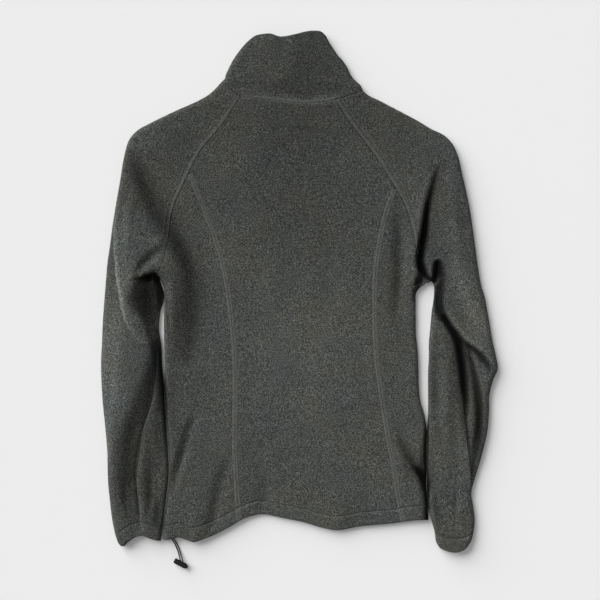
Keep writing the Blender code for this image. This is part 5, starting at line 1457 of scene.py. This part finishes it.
# %% Tape, teeth and metal
def woven(name, colour, across, along):
    """Tape woven with warp ribs along Y and picks across them."""
    finish = Finish(name, colour, 0.75, Sheen_Weight=0.15)
    ribs = finish.maths("MULTIPLY", finish.waves(across, "X"), finish.waves(along, "Y"))
    pale = tuple(min(1.0, 2.4 * c) for c in colour)
    dust = finish.ramp(finish.noise(90.0, 4.0), [(0.35, 0.85), (0.7, 1.15)])
    finish.paint(finish.mixed("MULTIPLY", 1.0, finish.ramp(ribs, [(0.1, colour), (0.8, pale)]), dust))
    finish.bump(ribs, 0.6, 0.0003)
    return finish.material


def moulded(name, colour, roughness, grain=1400.0, worn=1.35, **sockets):
    """Plastic or paint with a fine grain, and faint rubbing where it has been handled."""
    finish = Finish(name, colour, roughness, **sockets)
    handled = finish.noise(160.0, 4.0)
    rubbed = tuple(min(1.0, worn * c) for c in colour)
    finish.paint(finish.ramp(handled, [(0.42, colour), (0.68, rubbed)]))
    finish.feed(finish.shader.inputs["Roughness"],
                finish.ramp(handled, [(0.3, roughness * 0.85), (0.7, min(1.0, roughness * 1.2))]))
    finish.bump(finish.noise(grain, 2.0), 0.15, 0.0001)
    return finish.material


tape_cloth = woven("zip_tape", (0.020, 0.020, 0.021), 700.0, 800.0)
tooth_plastic = moulded("zip_teeth", (0.015, 0.015, 0.016), 0.38)
zip_paint = moulded("zip_metal", (0.050, 0.050, 0.052), 0.30, worn=1.8, Metallic=0.6)

for node, material in (("zip_tape_left", tape_cloth), ("zip_tape_right", tape_cloth),
                       ("zip_slider", zip_paint), ("pull_tab", zip_paint), ("zip_box", tooth_plastic)):
    frame["nodes"][node].data.materials.clear()
    frame["nodes"][node].data.materials.append(material)

# %% Zip teeth
CHAIN_FROM, CHAIN_TO, CHAIN_MARGIN = -300.0, 338.0, 0.7
CHAIN_THICK, TOOTH_PITCH = 2.0, 1.3
COLLAR_BEGINS, COLLAR_STEP = 169.0, 10.0    # y where the tape passes on to the collar's thicker cloth
TOOTH_PLACES = np.array([2.5, 1.3, 0.2, -0.9, -1.3])        # a tooth's rings, across the chain from the root
TOOTH_LONG = np.array([0.56, 0.46, 0.40, 0.60, 0.34])       # half their length along the chain
TOOTH_THICK = np.array([0.98, 1.0, 0.9, 0.8, 0.45])         # half their thickness


def cloth_below(y):
    """Thickness of the cloth that the tape lies on: the front's, then the collar's."""
    return CLOTH + (COLLAR_CLOTH - CLOTH) * smooth((y - COLLAR_BEGINS) / COLLAR_STEP)


def make_teeth():
    """A tooth is five rings across the chain, from its root over its narrow neck to its wide head. Tooth n
    stands at n times the pitch, and is turned over for odd n."""
    corners = np.array(CORNERS)
    rings = np.stack([np.repeat(TOOTH_PLACES[:, None], 4, axis=1), TOOTH_LONG[:, None] * corners[:, 0],
                      TOOTH_THICK[:, None] * corners[:, 1]], axis=2)
    y = np.arange(CHAIN_FROM + CHAIN_MARGIN, CHAIN_TO - CHAIN_MARGIN, TOOTH_PITCH)
    x = np.full(len(y), ZIP_X)
    way = np.where(np.arange(len(y)) % 2, -1.0, 1.0)
    centre = np.stack([x, y, lift(x, y) + cloth_below(y) - 0.5 * CHAIN_THICK], axis=1)
    turned_over = np.stack([way, way, np.ones(len(y))], axis=1)
    points = rings.reshape(1, -1, 3) * turned_over[:, None] + centre[:, None]
    print(len(y), "teeth")
    return mesh_object("zip_chain_teeth", points.reshape(-1, 3), bar_faces(len(y)), smooth_faces=False)


dress(make_teeth(), "zip_chain", tooth_plastic)

# %% [markdown]
# ## Drawcord and cord lock
#
# An elastic cord runs in the hem. Its two ends come out at the wearer's left side and pass through a lock,
# whose plunger squeezes them. The strands are tubes swept along the same curve, half their spacing to each
# side, with a braid pressed into them: two families of spirals that cross.

# %% Drawcord
CORD, CORD_PITCH = 1.6, (2.4, 2.9)
CORD_END = 0.55                         # a strand's first and last rings are this much of its width
CORD_ROUTE = [(-179.6, -331.0, 4.3), (-178.3, -336.5, 4.2), (-176.0, -342.0, 3.2), (-172.5, -348.0, 1.6),
              (-169.5, -354.5, 1.1), (-167.1, -361.0, 1.4), (-165.3, -367.0, 2.6), (-164.2, -370.6, 3.3),
              (-163.4, -373.0, 3.6), (-163.2, -374.3, 3.7)]


def ring_faces(rows, around):
    """Faces of a closed skin over so many rings of points. Its two tips come after all the rings' points."""
    ring = np.arange(rows * around).reshape(rows, around)
    after = np.roll(ring, -1, axis=1)
    sides = np.stack([ring[:-1], after[:-1], after[1:], ring[1:]], axis=2).reshape(-1, 4)
    fans = [np.stack([np.full(around // 2, tip), *(np.roll(end, -k)[::2] for k in order)], axis=1)
            for tip, end, order in ((ring.size, ring[0], (2, 1, 0)), (ring.size + 1, ring[-1], (0, 1, 2)))]
    return np.vstack([sides, *fans])


def tube(name, route, diameter, around=20, relief=0.05, turns=6.0):
    """A tube along a route: point (s, a) = route(s) + radius * (cos a * side + sin a * up), and its radius is
    pressed in by the product of two spirals, sin(4a + ks) and sin(4a - ks)."""
    run = np.gradient(route, axis=0)
    run /= np.linalg.norm(run, axis=1, keepdims=True)
    side = np.cross(run, (0.0, 0.0, 1.0))
    side /= np.linalg.norm(side, axis=1, keepdims=True)
    up = np.cross(side, run)
    angle = np.linspace(0.0, 2.0 * math.pi, around, endpoint=False)
    spin = turns * lengths(route)[:, None]
    spirals = 0.5 + 0.5 * np.sin(4 * angle + spin) * np.sin(4 * angle - spin)
    radius = 0.5 * diameter * (1.0 - relief * spirals)
    ends = np.ones(len(route))
    ends[[0, -1]] = CORD_END
    ring = radius[..., None] * ends[:, None, None] * (np.cos(angle)[None, :, None] * side[:, None]
                                                      + np.sin(angle)[None, :, None] * up[:, None])
    points = np.vstack([(route[:, None] + ring).reshape(-1, 3), route[0], route[-1]])
    return mesh_object(name, points, ring_faces(len(route), around))


def braided():
    """Black elastic braid, with strands that cross its length."""
    finish = Finish("drawcord", (0.014, 0.014, 0.015), 0.62, Sheen_Weight=0.02, Specular_IOR_Level=0.25)
    strands = finish.waves(420.0, "DIAGONAL", 1.5)
    finish.paint(finish.ramp(strands, [(0.2, (0.007, 0.007, 0.008)), (0.8, (0.022, 0.022, 0.024))]))
    finish.bump(strands, 0.4, 0.0002)
    return finish.material


cord_braid = braided()
route = spline(CORD_ROUTE, 70)
step = np.gradient(route, axis=0)
sideways = np.stack([-step[:, 1], step[:, 0], np.zeros(len(step))], axis=1)
sideways /= np.linalg.norm(sideways, axis=1, keepdims=True)
spacing = np.linspace(*CORD_PITCH, len(route))[:, None]
for number, way in ((1, -1), (2, 1)):
    line = route + sideways * way * 0.5 * spacing
    strand = tube(f"drawcord_strand_{number}", line, CORD)
    dress(strand, f"drawcord_{number}", cord_braid)
    print(strand.name, "length", round(lengths(line)[-1], 1), "mm")

# %% Cord lock
LOCK_RADIUS, LOCK_LENGTH = 3.7, 18.5
LOCK_END = (-173.7, -372.0)
LOCK_TURN = math.radians(-28.0)
LOCK_BORE, LOCK_DEPTH = 2.6, 4.3
SLOT_ALONG, SLOT_HALF, SLOT_DEPTH = 9.5, (3.0, 1.2), 2.5
SLOT_EDGE, SLOT_STEP = 1.12, 0.2        # the slot's rim, in shares of its half size
BUTTON_INSIDE, BUTTON_OUTSIDE, BUTTON_RADIUS = 2.0, 2.6, 2.3
PROFILE_STEP = 0.45                     # longest step between the rings of a round piece


def turned(name, profile, along, around=64, press=None):
    """A round piece on the lock's axis, from a profile of (along, radius) that starts and ends on the axis.
    press may move the surface in: it gives a depth for each place along and each angle."""
    fine = []
    for (a, r), (b, q) in zip(profile[:-1], profile[1:]):
        count = max(1, int(math.hypot(b - a, q - r) / PROFILE_STEP))
        fine += [(a + (b - a) * t / count, r + (q - r) * t / count) for t in range(count)]
    fine = np.array(fine[1:])
    angle = np.linspace(0.0, 2.0 * math.pi, around, endpoint=False)
    radius = np.repeat(fine[:, 1:], around, axis=1)
    if press is not None:
        radius = radius - press(fine[:, :1], angle[None], radius)
    u = np.repeat(fine[:, :1], around, axis=1) + along
    v, w = radius * np.cos(angle), radius * np.sin(angle)
    tips = np.array([(profile[0][0] + along, 0.0, 0.0), (profile[-1][0] + along, 0.0, 0.0)])
    local = np.vstack([np.stack([u, v, w], axis=2).reshape(-1, 3), tips])
    cos, sin = math.cos(LOCK_TURN), math.sin(LOCK_TURN)
    points = np.stack([LOCK_END[0] + local[:, 0] * cos - local[:, 1] * sin,
                       LOCK_END[1] + local[:, 0] * sin + local[:, 1] * cos,
                       LOCK_RADIUS + local[:, 2]], axis=1)
    faces = ring_faces(len(fine), around)
    return mesh_object(name, points, np.roll(faces[:, ::-1], 1, axis=1))


def slot_press(u, angle, radius):
    """The cord's slot: pressed in where the surface faces +Y of the lock, in a rounded oblong."""
    outside = (radius > LOCK_BORE + 0.2) & (np.cos(angle) > 0.0)
    height = radius * np.sin(angle)
    edge = np.maximum(np.abs(u - SLOT_ALONG) / SLOT_HALF[0], np.abs(height) / SLOT_HALF[1])
    return np.where(outside, SLOT_DEPTH * smooth((SLOT_EDGE - edge) / SLOT_STEP), 0.0)


lock_plastic = moulded("cord_lock", (0.008, 0.008, 0.009), 0.22, worn=1.4, Specular_IOR_Level=0.16)
button_plastic = moulded("cord_lock_plunger", (0.010, 0.010, 0.011), 0.30, worn=1.4, Specular_IOR_Level=0.3)
barrel = turned("cord_lock_body", [(0.0, 0.0), (0.0, 2.3), (0.12, 2.65), (0.4, 3.0), (0.9, 3.35), (1.4, 3.52),
                                   (2.0, LOCK_RADIUS), (LOCK_LENGTH - 0.6, LOCK_RADIUS),
                                   (LOCK_LENGTH - 0.18, LOCK_RADIUS - 0.16), (LOCK_LENGTH, LOCK_RADIUS - 0.5),
                                   (LOCK_LENGTH, LOCK_BORE), (LOCK_LENGTH - LOCK_DEPTH, LOCK_BORE),
                                   (LOCK_LENGTH - LOCK_DEPTH, 0.0)], 0.0, press=slot_press)
button = turned("cord_lock_button", [(-BUTTON_INSIDE, 0.0), (-BUTTON_INSIDE, BUTTON_RADIUS),
                                     (BUTTON_OUTSIDE - 0.9, BUTTON_RADIUS), (BUTTON_OUTSIDE - 0.45, 2.15),
                                     (BUTTON_OUTSIDE - 0.15, 1.85), (BUTTON_OUTSIDE, 1.2),
                                     (BUTTON_OUTSIDE, 0.0)], LOCK_LENGTH)
dress(barrel, "cord_lock_barrel", lock_plastic)
dress(button, "cord_lock_plunger", button_plastic, "plunger")
